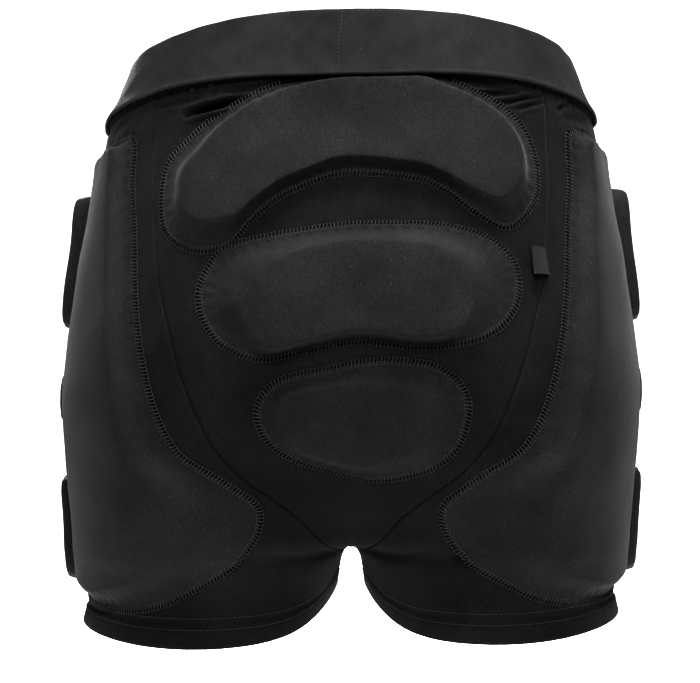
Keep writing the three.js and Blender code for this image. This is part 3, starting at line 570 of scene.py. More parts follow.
def cloth_height(level, turn, hand):
    """Height of a panel's folds, gathers and puckers over the body."""
    down = drop_at(level)
    back, front = back_length(level), front_length(level)
    backwards = np.where(turn >= 0, turn * back, turn * front)
    round_at = hand * (back - backwards)
    height = gathers(round_at, down) + np.where(turn > 0, fold_height(round_at, down), 0)
    spread = np.stack([round_at, down], -1)
    height += 0.32 * ripple(spread, 52, 11) + 0.12 * ripple(spread, 17, 12)
    height -= 1.5 * np.exp(-(((down - 1.5) / 3.2) ** 2))
    height = mix(height, 1.7, np.clip(-down / 3.5, 0, 1))
    under_seat = np.clip((np.abs(turn) - 0.5) / 0.3, 0, 1) ** 2
    height += 2.6 * under_seat * np.exp(-(((down - RISE - 1) / 12) ** 2))
    flat_down, flat_round, flat_back = down.ravel(), round_at.ravel(), backwards.ravel()
    level_height = height.ravel()
    for pad in (*BACK_PADS, *HIP_PADS, *SIDE_PADS):
        loop = pad_loop(pad, 3.0)[0]
        if pad.hand:
            here = np.stack([flat_down - pad.drop, flat_back - pad.across], -1)
            here[np.broadcast_to(hand, level.shape).ravel() != pad.hand] = 1e6
        else:
            here = np.stack([flat_round - pad.across, flat_down - pad.drop], -1)
            here[flat_back < 0] = 1e6
        low, high = loop.min(0) - 14, loop.max(0) + 14
        close = np.flatnonzero(((here > low) & (here < high)).all(1))
        if not len(close):
            continue
        away, at, whole = nearest(here[close], loop)
        waves = round(whole / 8.6)
        within = inside(here[close], loop)
        pucker = 0.3 * np.exp(-away / 4) * np.sin(2 * math.pi * waves * at / whole) - 0.12 * np.exp(-away / 4.5)
        level_height[close] += np.where(within, 0, pucker)
        level_height[close] = np.where(within, np.minimum(level_height[close], 0) - 0.75, level_height[close])
    return level_height.reshape(level.shape)


def eased(net, down):
    """The net with its crease between seat and leg eased, column by column. down is counted from the crotch."""
    share = np.clip(1 - np.abs(down - 2) / 13, 0, 1)[1:-1, None, None]
    for _ in range(45):
        run = np.linalg.norm(np.diff(net, axis=0), axis=2)[..., None]
        even = (net[:-2] * run[1:] + net[2:] * run[:-1]) / (run[1:] + run[:-1])
        net[1:-1] += 0.5 * share * (even - net[1:-1])
    return net


def panel(name, level, turn, hand, edges, bottom):
    """A panel's closed wall, with its edges rolled into the seams."""
    net = eased(body(level, turn, hand), drop_at(level[:, 0]) - RISE)
    normals = net_normals(net)
    middle = tuple(n // 2 for n in level.shape)
    probe = facing(*(np.array([np.broadcast_to(v, level.shape)[middle]]) for v in (level, turn, hand)))[0]
    if probe @ normals[middle] < 0:
        normals = -normals
    height = cloth_height(level, turn, np.broadcast_to(hand, level.shape))
    steps = np.linalg.norm(np.diff(net, axis=1), axis=2)
    run = np.concatenate([np.zeros((len(net), 1)), np.cumsum(steps, 1)], 1)
    from_seam = np.minimum(run, run[:, -1:] - run)
    if bottom:
        steps = np.linalg.norm(np.diff(net, axis=0), axis=2)
        down = np.concatenate([np.zeros((1, net.shape[1])), np.cumsum(steps, 0)])
        from_seam = np.minimum(from_seam, down[-1] - down)
    rolled = 1.25 * np.clip(1 - from_seam / 2.1, 0, 1) ** 1.8
    outer = net + normals * (height - rolled)[..., None]
    under_height = np.minimum(height, 0.4) - FABRIC
    inner = net + normals * under_height[..., None]
    for wall, apart in ((outer, 0.06), (inner, -0.3)):
        for side, other in ((0, 1), (-1, -2)):
            wall[:, side] += unit(wall[:, other] - wall[:, side]) * apart
        if bottom:
            wall[-1] += unit(wall[-2] - wall[-1]) * apart
    points = np.concatenate([outer.reshape(-1, 3), inner.reshape(-1, 3)])
    faces = outwards(wall_faces(*level.shape), points)
    back, front = back_length(level), front_length(level)
    around = np.where(turn >= 0, back, front) * (1 - np.abs(turn) if bottom else turn)
    flat = np.stack([around * np.broadcast_to(hand, level.shape), drop_at(level)], -1)
    flat = np.tile(flat.reshape(-1, 2), (2, 1))
    made = new_mesh(name, points, faces, flat)
    lay_flat(made)
    area = np.linalg.norm(np.cross(np.diff(net, axis=0)[:, :-1], np.diff(net, axis=1)[:-1]), axis=2).sum() * MM**2
    width = np.linalg.norm(np.diff(net, axis=1), axis=2).sum(1).max() * MM
    length = np.linalg.norm(np.diff(net, axis=0), axis=2).sum(0).max() * MM
    return made, (width, length, area)


def middle_panel(name, behind):
    turn = seam_turn[behind](CUT_ROWS)
    side, middle = seam_level(CUT_ROWS), seam_level(seam_middle[behind](CUT_ROWS))
    lengths = back_length(side) if behind else front_length(side)
    width = (1 - turn) * lengths + np.abs(drop_at(side) - drop_at(middle)) + 0.5
    shares = cut_shares(width, 90, False)
    level = mix(side[:, None], middle[:, None], np.sin(shares * math.pi / 2))
    sign = 1 if behind else -1
    turns = sign * mix(turn[:, None], 1, shares)
    level = np.concatenate([level, level[:, -2::-1]], 1)
    turns = np.concatenate([turns, turns[:, -2::-1]], 1)
    hand = np.ones(level.shape)
    hand[:, shares.shape[1]:] = -1
    return panel(name, level, turns, hand, 2, True)


def leg_panel(name, hand):
    upper = CUT_ROWS
    lower = np.linspace(0, 1, 9)[1:]
    level = np.r_[seam_level(upper), mix(1 + GUSSET_REACH / INSEAM, LEG_END, lower)]
    back = np.r_[seam_turn[True](upper), np.ones(len(lower))]
    front = np.r_[seam_turn[False](upper), np.ones(len(lower))]
    width = back * back_length(level) + front * front_length(level)
    shares = cut_shares(width, 236, True)
    span = width[:, None] * shares
    behind = (back * back_length(level))[:, None]
    turns = np.where(
        span < behind,
        back[:, None] * (1 - span / behind),
        -front[:, None] * (span - behind) / (width[:, None] - behind),
    )
    levels = np.broadcast_to(level[:, None], turns.shape).copy()
    return panel(name, levels, turns, float(hand), 2, False)


# Bands
def ring_band(name, levels_heights, turns, hands, wave, finish_flat):
    """A closed ring from a loop of (level, height) points round its cut end."""
    level = np.array([row[0] for row in levels_heights])[:, None]
    height = np.array([row[1] for row in levels_heights])[:, None]
    turn, hand = turns[None], hands[None]
    shape = (len(levels_heights), len(turns))
    level, turn, hand = (np.broadcast_to(v, shape) for v in (level, turn, hand))
    places = (level, turn, hand)
    points = on_cloth(places, np.broadcast_to(height, shape) + wave(level, turn, hand))
    index = np.arange(points.size // 3).reshape(shape)
    a, b = index, np.roll(index, -1, 1)
    faces = np.stack([a, b, np.roll(b, -1, 0), np.roll(a, -1, 0)], -1).reshape(-1, 4)
    flat_points = points.reshape(-1, 3)
    made = new_mesh(name, flat_points, outwards(faces, flat_points), finish_flat(places, points).reshape(-1, 2))
    return made


def band_profile(top, bottom, inside_height, thickness, corner, steps, size):
    """Loop of (level, height) round a flat band with rounded edges. size is millimetres in a level."""
    radius = thickness / 2
    loop = []
    middle = inside_height + radius
    reach = corner / size
    for share in np.linspace(0, 1, steps):
        loop.append((mix(top + reach, bottom - reach, share), inside_height + thickness))
    for angle in np.linspace(90, -90, 7)[1:-1]:
        a = math.radians(angle)
        loop.append((bottom - reach + reach * math.cos(a), middle + radius * math.sin(a)))
    for share in np.linspace(0, 1, max(3, steps // 3)):
        loop.append((mix(bottom - reach, top + reach, share), inside_height))
    for angle in np.linspace(-90, 90, 7)[1:-1]:
        a = math.radians(angle)
        loop.append((top + reach - reach * math.cos(a), middle + radius * math.sin(a)))
    return loop


def waistband():
    count = 400
    side = np.linspace(1, -1, count // 2, endpoint=False)
    turns = np.r_[side, -side]
    hands = np.r_[np.ones(count // 2), -np.ones(count // 2)]

    def round_at(places):
        level, turn, hand = places
        back, front = back_length(level), front_length(level)
        return hand * np.where(turn >= 0, (1 - turn) * back, back - turn * front)

    def wave(level, turn, hand):
        across = round_at((level, turn, hand))
        spot = unit(np.stack([turn, hand], -1)) * 0 + np.stack([across, level * BAND_HEIGHT], -1)
        closing = np.clip((440 - np.abs(across)) / 60, 0, 1)
        lift = 0.45 * ripple(spot, 70, 21) * closing + 0.18 * ripple(spot, 19, 22) * closing
        edge = np.exp(-(((level + 1) * BAND_HEIGHT / 5) ** 2)) + np.exp(-((level * BAND_HEIGHT / 4) ** 2))
        lift = lift + 0.35 * edge * ripple(spot, 26, 23) * closing + 0.5 * np.exp(-((level * BAND_HEIGHT / 5) ** 2))
        seam = across + 7 - 1.2 * np.sin(level * 5)
        step = 0.55 * (1 / (1 + np.exp(-seam / 0.5)) - 1 / (1 + np.exp(-(seam - 13) / 1.2)))
        return lift + step * (np.abs(across) < 40)

    def flat(places, points):
        level = places[0]
        return np.stack([round_at(places), (level + 1) * BAND_HEIGHT], -1)

    loop = band_profile(-1, 0, BAND_CLEARANCE, BAND_THICKNESS, 1.3, 19, BAND_HEIGHT)
    made = ring_band("waistband_elastic", loop, turns, hands, wave, flat)
    lay_flat(made)
    return made


def hem(name, hand):
    count = 200
    turns = np.linspace(1, -1, count, endpoint=False)
    hands = np.full(count, float(hand))

    def round_at(level, turn):
        return np.where(turn >= 0, (1 - turn) * back_length(level), back_length(level) - turn * front_length(level))

    def wave(level, turn, hand):
        at = round_at(level, turn)
        whole = back_length(level) + front_length(level)
        waves = 2 * math.pi * at / whole
        up = (2 - level) * INSEAM
        puckers = 0.13 * np.sin(52 * waves) * np.exp(-(((up - 9.5) / 4) ** 2))
        return puckers - 0.35 * np.exp(-(((up - 9.5) / 1.1) ** 2)) + 0.3 * np.sin(5 * waves + 1) * np.exp(-up / 8)

    def flat(places, points):
        level, turn, hand = places
        return np.stack([round_at(level, turn) * hand, drop_at(level)], -1)

    top = 2 - (HEM_HEIGHT - 0.1) / INSEAM
    loop = band_profile(top, 2, HEM_PROUD - HEM_THICKNESS, HEM_THICKNESS - 0.2, 1.4, 12, INSEAM)
    made = ring_band(name, loop, turns, hands, wave, flat)
    lay_flat(made)
    return made


# Pads
SLOPE = ((0.14, 0.03), (0.34, 0.12), (0.48, 0.25), (0.6, 0.43), (0.71, 0.62), (0.82, 0.79), (0.92, 0.91), (1, 0.965))
CROWN = (0.06, 0.16, 0.34, 0.54, 0.74, 0.9)


def shoulder(pad, flat):
    """Where a hip pad thins towards the waist on the outer side, from 0 to 1."""
    up = np.clip(1 - (flat[:, 0] + pad.half_height) / (0.55 * pad.half_height), 0, 1)
    outer = np.clip((84 - flat[:, 1]) / 50, 0, 1)
    return up * up * (3 - 2 * up) * outer * outer * (3 - 2 * outer)


def pad_cage(pad, spacing):
    """A pad's closed body at the mesh size of its simulation, with how firmly each point is held."""
    edge, middle, slope = pad_loop(pad, spacing)
    length = np.linalg.norm(middle - edge, axis=1)
    tucked = 1 if pad.hand else np.clip((pad.drop + edge[:, 1]) / 5, 0.2, 1)
    foot = tucked * np.minimum(2.4, 0.35 * length) / length
    brim = np.maximum(slope * tucked, np.minimum(0.9, foot + 3.6 * tucked / length))
    full = pad.thickness + 0.2
    # The last value in each row is the rim: a worn rim and painted highlight, lightest at the top of the bevel.
    rings = [(0.8, 0.1, 1, 0), (0.35, 0.1, 1, 0), (0, 0.1, 1, 0)]
    shares = [np.full(len(edge), r[0]) for r in rings]
    rows = [r[1:] for r in rings]
    for share, height, hold, rim in ((0, 0.45, 1, 0), (0.4, 0.85, 1, 0), (1, 0.9, 1, 0.1)):
        shares.append(foot * share)
        rows.append((height, hold, rim))
    for t, h in SLOPE:
        shares.append(mix(foot, brim, t))
        h = mix(h, t * t * (3 - 2 * t), pad.soft)
        rows.append((mix(0.9, full, h), 0.05 + 0.4 * t, 0.25 + 0.75 * h if t < 1 else 0.8))
    for c in CROWN:
        shares.append(mix(brim, 1, c))
        rows.append((full * (1 + 0.02 * c - 0.035 * max(0, 1 - c / 0.2) ** 2), 0.45, 0.45 if c < 0.1 else 0.12 if c < 0.2 else 0))
    flat = np.concatenate([edge + (middle - edge) * s[:, None] for s in shares])
    count = len(edge)
    height, hold, rim = (np.repeat([row[k] for row in rows], count) for k in range(3))
    if pad.outline is HIP_OUTLINE:
        height = 0.1 + (height - 0.1) * (1 - 0.5 * shoulder(pad, flat))
    soft = np.where(hold < 0.9, 0.3 * ripple(flat, 46, len(pad.name)) * height / full, 0)
    points = on_cloth(pad_place(pad, flat), height + soft)
    index = np.arange(len(flat)).reshape(-1, count)
    ahead = np.roll(index, -1, 1)
    faces = np.stack([index[:-1], ahead[:-1], ahead[1:], index[1:]], -1).reshape(-1, 4).tolist()
    for ring, up in ((index[0], False), (index[-1], True)):
        for k in range(count // 2):
            quad = [ring[k], ring[k + 1], ring[(count - k - 1) % count], ring[(count - k) % count]]
            quad = [int(v) for i, v in enumerate(quad) if v not in quad[:i]]
            faces.append(quad if up else quad[::-1])
    if signed_volume(points, faces) < 0:
        faces = [face[::-1] for face in faces]
    return new_mesh(pad.name + "_cover", points, faces, flat, rim=rim), points, hold


def signed_volume(points, faces):
    total = 0.0
    for face in faces:
        a = points[face[0]]
        for b, c in zip(face[1:-1], face[2:]):
            total += float(np.dot(a, np.cross(points[b], points[c])))
    return total


def swell(made, rest, hold, cap):
    """Blows the cover up a little over its foam, as cloth sewn down at its edge, no further than cap."""
    group = made.vertex_groups.new(name="sewn")
    for value in np.unique(hold):
        group.add(np.flatnonzero(hold == value).tolist(), float(value), "REPLACE")
    cloth = made.modifiers.new("cloth", "CLOTH")
    cloth.settings.vertex_group_mass = "sewn"
    cloth.settings.quality = 4
    cloth.settings.mass = 0.3
    cloth.settings.tension_stiffness = cloth.settings.compression_stiffness = 12
    cloth.settings.bending_stiffness = 0.4
    cloth.settings.use_pressure = True
    cloth.settings.uniform_pressure_force = 3.5
    cloth.settings.effector_weights.gravity = 0
    cloth.point_cache.frame_start, cloth.point_cache.frame_end = 1, 14
    scene = bpy.context.scene
    for number in range(1, 15):
        scene.frame_set(number)
    graph = bpy.context.evaluated_depsgraph_get()
    moved = points_of(made.evaluated_get(graph).data) / MM - rest
    made.modifiers.remove(cloth)
    made.vertex_groups.remove(group)
    scene.frame_set(1)
    far = np.linalg.norm(moved, axis=1, keepdims=True)
    moved *= cap * np.tanh(far / cap) / np.maximum(far, 1e-6)
    made.data.vertices.foreach_set("co", ((rest + moved) * MM).ravel())
    made.data.update()


def pad_cover(pad, spacing=4.0, cap=1.6):
    made, points, hold = pad_cage(pad, spacing)
    swell(made, points, hold, cap)
    smooth = made.modifiers.new("smooth", "SUBSURF")
    smooth.levels = smooth.render_levels = 1
    baked(made)
    mesh = made.data
    co, normals = points_of(mesh) / MM, normals_of(mesh)
    at = np.empty(len(mesh.vertices) * 3)
    mesh.attributes["flat"].data.foreach_get("vector", at)
    at = at.reshape(-1, 3)[:, :2] / MM
    loop = pad_loop(pad, 3.0)[0]
    away, round_at, whole = nearest(at, loop)
    waves = round(whole / 8.6)
    upper = np.einsum("ij,ij->i", normals, facing(*pad_place(pad, at))) > -0.2
    pucker = 0.28 * np.exp(-(((away - 5) / 4) ** 2)) * np.sin(2 * math.pi * waves * round_at / whole)
    grain = 0.05 * ripple(at, 9, 31)
    co += normals * (np.where(upper, pucker * np.clip(away / 2, 0, 1) + grain, 0))[:, None]
    mesh.vertices.foreach_set("co", (co * MM).ravel())
    mesh.update()
    lay_flat(made, upright=pad.hand != 0)
    return made


# Label
def label():
    drop = 104
    place = (level_at(drop), seam_turn[True](drop / RISE), 1.0)
    place = tuple(np.array([float(v)]) for v in place)
    out = facing(*place)[0]
    root = body(*place)[0] + out * 0.95
    further = (place[0] + 0.01, place[1], place[2])
    down = unit(body(*further)[0] - body(*place)[0])
    inwards = unit(np.cross(out, down))
    if inwards[0] > 0:
        inwards = -inwards
    lean = math.radians(15)
    along = inwards * math.cos(lean) + out * math.sin(lean)
    across = unit(np.cross(-down, along))
    path = [(12 * s, 0.62 - 0.1 * s + 0.25 * math.sin(math.pi * s)) for s in np.linspace(0, 0.94, 12)]
    path += [(11.3 + 0.75 * math.sin(math.radians(a)), 0.55 * math.cos(math.radians(a))) for a in (25, 60, 90, 120, 155)]
    path += [(x, -y) for x, y in path[11::-1]]
    path = np.array(path) * (1.2, 1)
    way = unit(np.gradient(path, axis=0))
    side = np.stack([-way[:, 1], way[:, 0]], -1) * 0.17
    heights = np.linspace(-9, 9, 15)
    nets = []
    for wall in (path + side, path - side):
        curl = 0.25 * np.sin(heights / 4.2)[:, None] * (wall[None, :, 0] / 12) ** 2
        spots = (
            root
            + wall[None, :, :1] * along
            + (wall[None, :, 1:] + curl[..., None]) * across
            - heights[:, None, None] * down
        )
        nets.append(spots.reshape(-1, 3))
    points = np.concatenate(nets)
    faces = outwards(wall_faces(len(heights), len(path)), points)
    run = np.r_[0, np.cumsum(np.linalg.norm(np.diff(path, axis=0), axis=1))]
    flat = np.stack(np.broadcast_arrays(run[None, :], heights[:, None]), -1).reshape(-1, 2)
    made = new_mesh("label_ribbon", points, faces, np.tile(flat, (2, 1)))
    lay_flat(made)
    return made


# Stitches
def thread_tube(path, radius, sides=5):
    """Points and faces of a closed tube along a path."""
    path = np.array(path, float)
    way = unit(np.gradient(path, axis=0))
    side = unit(np.cross(way, [0.0, 0.0, 1.0]))
    up = np.cross(side, way)
    angles = np.arange(sides) * 2 * math.pi / sides
    taper = np.r_[0.55, np.ones(len(path) - 2), 0.55][:, None, None] * radius
    ring = np.cos(angles)[None, :, None] * side[:, None] + np.sin(angles)[None, :, None] * up[:, None]
    points = (path[:, None] + ring * taper).reshape(-1, 3)
    index = np.arange(len(points)).reshape(len(path), sides)
    ahead = np.roll(index, -1, 1)
    faces = np.stack([index[:-1], index[1:], ahead[1:], ahead[:-1]], -1).reshape(-1, 4).tolist()
    faces += [index[0].tolist(), index[-1][::-1].tolist()]
    return points, faces


def thread_piece(name, tubes):
    """One stitch, in millimetres, with x along its seam and z away from the cloth."""
    points, faces = [], []
    for path, radius in tubes:
        more, quads = thread_tube(path, radius)
        start = sum(len(p) for p in points)
        points.append(more)
        faces += [[v + start for v in quad] for quad in quads]
    return new_mesh(name, np.concatenate(points), faces)


def cover_stitch(pitch, width):
    """A slanted bar over the seam with a needle stitch at each end. The seam's lower side is at +y."""
    half = width / 2
    bar = [(-0.3 * pitch, -half, 0.25), (-0.15 * pitch, -half * 0.6, 0.62), (0.05 * pitch, 0, 0.5),
           (0.2 * pitch, half * 0.6, 0.12), (0.3 * pitch, half, -0.5)]
    tubes = [(bar, 0.25)]
    for y, z in ((-half, 0.3), (half, -0.3)):
        needle = [(-0.42 * pitch, y, z - 0.1), (-0.15 * pitch, y, z + 0.16), (0.15 * pitch, y, z + 0.16), (0.42 * pitch, y, z - 0.1)]
        tubes.append((needle, 0.2))
    return thread_piece("cover_stitch", tubes)


def running_stitch(pitch):
    arc = [(-0.4 * pitch, 0, -0.28), (-0.26 * pitch, 0, 0.12), (0, 0, 0.24), (0.26 * pitch, 0, 0.12), (0.4 * pitch, 0, -0.28)]
    return thread_piece("running_stitch", [(arc, 0.23)])


def stitch_tree():
    """Geometry Nodes that set a stitch along a seam's path."""
    tree = bpy.data.node_groups.new("stitches_along_seam", "GeometryNodeTree")
    sockets = (
        ("Seam", "NodeSocketGeometry"), ("Stitch", "NodeSocketObject"), ("Pitch", "NodeSocketFloat"),
        ("Turn", "NodeSocketFloat"), ("Seed", "NodeSocketInt"), ("Thread", "NodeSocketMaterial"),
    )
    for name, kind in sockets:
        tree.interface.new_socket(name, in_out="INPUT", socket_type=kind)
    tree.interface.new_socket("Stitches", in_out="OUTPUT", socket_type="NodeSocketGeometry")
    node, link = tree.nodes.new, tree.links.new
    given, result = node("NodeGroupInput"), node("NodeGroupOutput")
    path = node("GeometryNodeMeshToCurve")
    spaced = node("GeometryNodeResampleCurve")
    spaced.mode = "LENGTH"
    way = node("GeometryNodeInputTangent")
    up = node("GeometryNodeInputNamedAttribute")
    up.data_type = "FLOAT_VECTOR"
    up.inputs["Name"].default_value = "up"
    aligned = node("FunctionNodeAxesToRotation")
    aligned.primary_axis, aligned.secondary_axis = "X", "Z"
    uneven = node("FunctionNodeRandomValue")
    uneven.data_type = "FLOAT"
    least = node("ShaderNodeMath")
    least.operation = "MULTIPLY"
    least.inputs[1].default_value = -1
    tilt = node("ShaderNodeCombineXYZ")
    turned = node("FunctionNodeEulerToRotation")
    both = node("FunctionNodeRotateRotation")
    both.rotation_space = "LOCAL"
    piece = node("GeometryNodeObjectInfo")
    piece.inputs["As Instance"].default_value = True
    set_out = node("GeometryNodeInstanceOnPoints")
    real = node("GeometryNodeRealizeInstances")
    finish = node("GeometryNodeSetMaterial")
    link(given.outputs["Seam"], path.inputs["Mesh"])
    link(path.outputs["Curve"], spaced.inputs["Curve"])
    link(given.outputs["Pitch"], spaced.inputs["Length"])
    link(way.outputs["Tangent"], aligned.inputs["Primary Axis"])
    link(up.outputs["Attribute"], aligned.inputs["Secondary Axis"])
    link(given.outputs["Turn"], least.inputs[0])
    ends = [s for s in uneven.inputs if s.enabled and s.name in ("Min", "Max")]
    link(least.outputs[0], ends[0])
    link(given.outputs["Turn"], ends[1])
    link(given.outputs["Seed"], uneven.inputs["Seed"])
    link(next(s for s in uneven.outputs if s.enabled), tilt.inputs["Z"])
    link(tilt.outputs[0], turned.inputs["Euler"])
    link(aligned.outputs["Rotation"], both.inputs["Rotation"])
    link(turned.outputs["Rotation"], both.inputs["Rotate By"])
    link(given.outputs["Stitch"], piece.inputs["Object"])
    link(spaced.outputs["Curve"], set_out.inputs["Points"])
    link(piece.outputs["Geometry"], set_out.inputs["Instance"])
    link(both.outputs["Rotation"], set_out.inputs["Rotation"])
    link(set_out.outputs["Instances"], real.inputs["Geometry"])
    link(real.outputs["Geometry"], finish.inputs["Geometry"])
    link(given.outputs["Thread"], finish.inputs["Material"])
    link(finish.outputs["Geometry"], result.inputs["Stitches"])
    return tree


STITCHES = stitch_tree()


def seam_path(name, points, ups, closed):
    count = len(points)
    mesh = bpy.data.meshes.new(name)
    edges = [(k, (k + 1) % count) for k in range(count if closed else count - 1)]
    mesh.from_pydata((points * MM).tolist(), edges, [])
    mesh.attributes.new("up", "FLOAT_VECTOR", "POINT").data.foreach_set("vector", ups.ravel())
    made = bpy.data.objects.new(name, mesh)
    bpy.context.scene.collection.objects.link(made)
    return made


def sewn(name, points, ups, stitch, pitch, thread, closed=True, turn=0.06, seed=1):
    """Stitches along a path, as a plain mesh."""
    made = seam_path(name, points, ups, closed)
    setter = made.modifiers.new("stitches", "NODES")
    setter.node_group = STITCHES
    key = {item.name: item.identifier for item in STITCHES.interface.items_tree if item.item_type == "SOCKET"}
    setter[key["Stitch"]] = stitch
    setter[key["Pitch"]] = pitch * MM
    setter[key["Turn"]] = turn
    setter[key["Seed"]] = seed
    setter[key["Thread"]] = thread
    baked(made)
    made.data.polygons.foreach_set("use_smooth", [True] * len(made.data.polygons))
    return made


def round_pad(pad, stitch, pitch, thread, seed):
    """Cover stitches round a pad's sewn edge, down from where it comes out from under the waistband."""
    edge, middle, _ = pad_loop(pad, 1.6)
    under_band = pad.drop + edge[:, 1] < 4.6 if not pad.hand else np.zeros(len(edge), bool)
    if under_band.any():
        first = np.flatnonzero(under_band & ~np.roll(under_band, -1))[0] + 1
        edge, middle = (np.roll(loop, -first, 0)[: np.count_nonzero(~under_band)] for loop in (edge, middle))
    place = pad_place(pad, edge)
    ups = facing(*place)
    points = on_cloth(place, 0.5)
    ahead = unit(np.gradient(points, axis=0))
    outwards_now = np.cross(ups, ahead)
    away = points - on_cloth(pad_place(pad, middle), 0.5)
    if np.einsum("ij,ij->i", outwards_now, away).sum() < 0:
        points, ups = points[::-1], ups[::-1]
    closed = not under_band.any()
    return sewn(pad.name + "_stitches", points, ups, stitch, pitch, thread, closed, seed=seed)


# Materials
def value_node(tree, operation, *given):
    """A Math node on sockets or numbers."""
    made = tree.nodes.new("ShaderNodeMath")
    made.operation = operation
    for socket, value in zip(made.inputs, given):
        if isinstance(value, bpy.types.NodeSocket):
            tree.links.new(value, socket)
        else:
            socket.default_value = value
    return made.outputs[0]


def effect(name, inputs, outputs):
    """A shader node group with named inputs and outputs."""
    tree = bpy.data.node_groups.new(name, "ShaderNodeTree")
    for socket, kind, value in inputs:
        made = tree.interface.new_socket(socket, in_out="INPUT", socket_type=kind)
        if value is not None:
            made.default_value = value
    for socket in outputs:
        tree.interface.new_socket(socket, in_out="OUTPUT", socket_type="NodeSocketFloat")
    return tree, tree.nodes.new("NodeGroupInput").outputs, tree.nodes.new("NodeGroupOutput").inputs


def split(tree, vector):
    made = tree.nodes.new("ShaderNodeSeparateXYZ")
    tree.links.new(vector, made.inputs[0])
    return made.outputs[0], made.outputs[1], made.outputs[2]


def knit_effect():
    """Columns of small V-shaped loops."""
    tree, given, result = effect(
        "knit_loops",
        (("Vector", "NodeSocketVector", None), ("Wale", "NodeSocketFloat", 0.0009), ("Course", "NodeSocketFloat", 0.0008)),
        ("Height", "Tone"),
    )
    x, y, _ = split(tree, given["Vector"])
    across = value_node(tree, "DIVIDE", x, given["Wale"])
    down = value_node(tree, "DIVIDE", y, given["Course"])
    side = value_node(tree, "ABSOLUTE", value_node(tree, "SUBTRACT", value_node(tree, "FRACT", across), 0.5))
    bent = value_node(tree, "MULTIPLY_ADD", side, 1.7, down)
    loops = value_node(tree, "SINE", value_node(tree, "MULTIPLY", bent, 2 * math.pi))
    column = value_node(tree, "SUBTRACT", 1, value_node(tree, "MULTIPLY", value_node(tree, "MULTIPLY", side, side), 4))
    lifted = value_node(tree, "MULTIPLY_ADD", loops, 0.25, 0.75)
    height = value_node(tree, "MULTIPLY", column, lifted)
    tree.links.new(height, result["Height"])
    tree.links.new(value_node(tree, "MULTIPLY_ADD", height, 0.14, 0.9), result["Tone"])
    return tree


def rib_effect():
    """Upright ribs of a woven elastic, crossed by picks that step from rib to rib."""
    tree, given, result = effect(
        "woven_ribs",
        (("Vector", "NodeSocketVector", None), ("Rib", "NodeSocketFloat", 0.0012), ("Pick", "NodeSocketFloat", 0.0009)),
        ("Height", "Tone"),
    )
    x, y, _ = split(tree, given["Vector"])
    across = value_node(tree, "DIVIDE", x, given["Rib"])
    step = value_node(tree, "MULTIPLY", value_node(tree, "MODULO", value_node(tree, "FLOOR", across), 2), 0.5)
    down = value_node(tree, "ADD", value_node(tree, "DIVIDE", y, given["Pick"]), step)

    def crown(value):
        centred = value_node(tree, "SUBTRACT", value_node(tree, "FRACT", value), 0.5)
        return value_node(tree, "SUBTRACT", 1, value_node(tree, "MULTIPLY", value_node(tree, "MULTIPLY", centred, centred), 4))

    height = value_node(tree, "ADD", value_node(tree, "MULTIPLY", crown(across), 0.6), value_node(tree, "MULTIPLY", crown(down), 0.4))
    tree.links.new(height, result["Height"])
    tree.links.new(value_node(tree, "MULTIPLY_ADD", height, 0.36, 0.7), result["Tone"])
    return tree


def wear_effect():
    """Uneven dye, pressed patches and a little fluff."""
    tree, given, result = effect(
        "dye_and_fluff",
        (("Vector", "NodeSocketVector", None), ("Patch", "NodeSocketFloat", 22), ("Fluff", "NodeSocketFloat", 0.5)),
        ("Tone", "Fluff", "Grain"),
    )
    noise = []
    for factor, detail, roughness in ((1, 4, 0.6), (38, 3, 0.7)):
        made = tree.nodes.new("ShaderNodeTexNoise")
        made.inputs["Detail"].default_value = detail
        made.inputs["Roughness"].default_value = roughness
        tree.links.new(given["Vector"], made.inputs["Vector"])
        tree.links.new(value_node(tree, "MULTIPLY", given["Patch"], factor), made.inputs["Scale"])
        noise.append(made.outputs["Fac"])
    patch = value_node(tree, "MULTIPLY_ADD", noise[0], 1.4, 0.3)
    grain = value_node(tree, "MULTIPLY_ADD", noise[1], 2.2, -0.1)
    tree.links.new(value_node(tree, "MULTIPLY", patch, grain), result["Tone"])
    tree.links.new(noise[1], result["Grain"])
    specks = tree.nodes.new("ShaderNodeTexVoronoi")
    specks.inputs["Scale"].default_value = 330
    tree.links.new(given["Vector"], specks.inputs["Vector"])
    near = value_node(tree, "LESS_THAN", specks.outputs["Distance"], 0.12)
    red = tree.nodes.new("ShaderNodeSeparateColor")
    tree.links.new(specks.outputs["Color"], red.inputs[0])
    rare = value_node(tree, "GREATER_THAN", red.outputs[0], 0.9)
    tree.links.new(value_node(tree, "MULTIPLY", value_node(tree, "MULTIPLY", near, rare), given["Fluff"]), result["Fluff"])
    return tree


KNIT, RIBS, WEAR = knit_effect(), rib_effect(), wear_effect()


def placed(tree, group, vector, **values):
    made = tree.nodes.new("ShaderNodeGroup")
    made.node_tree = group
    tree.links.new(vector, made.inputs["Vector"])
    for name, value in values.items():
        made.inputs[name].default_value = value
    return made.outputs


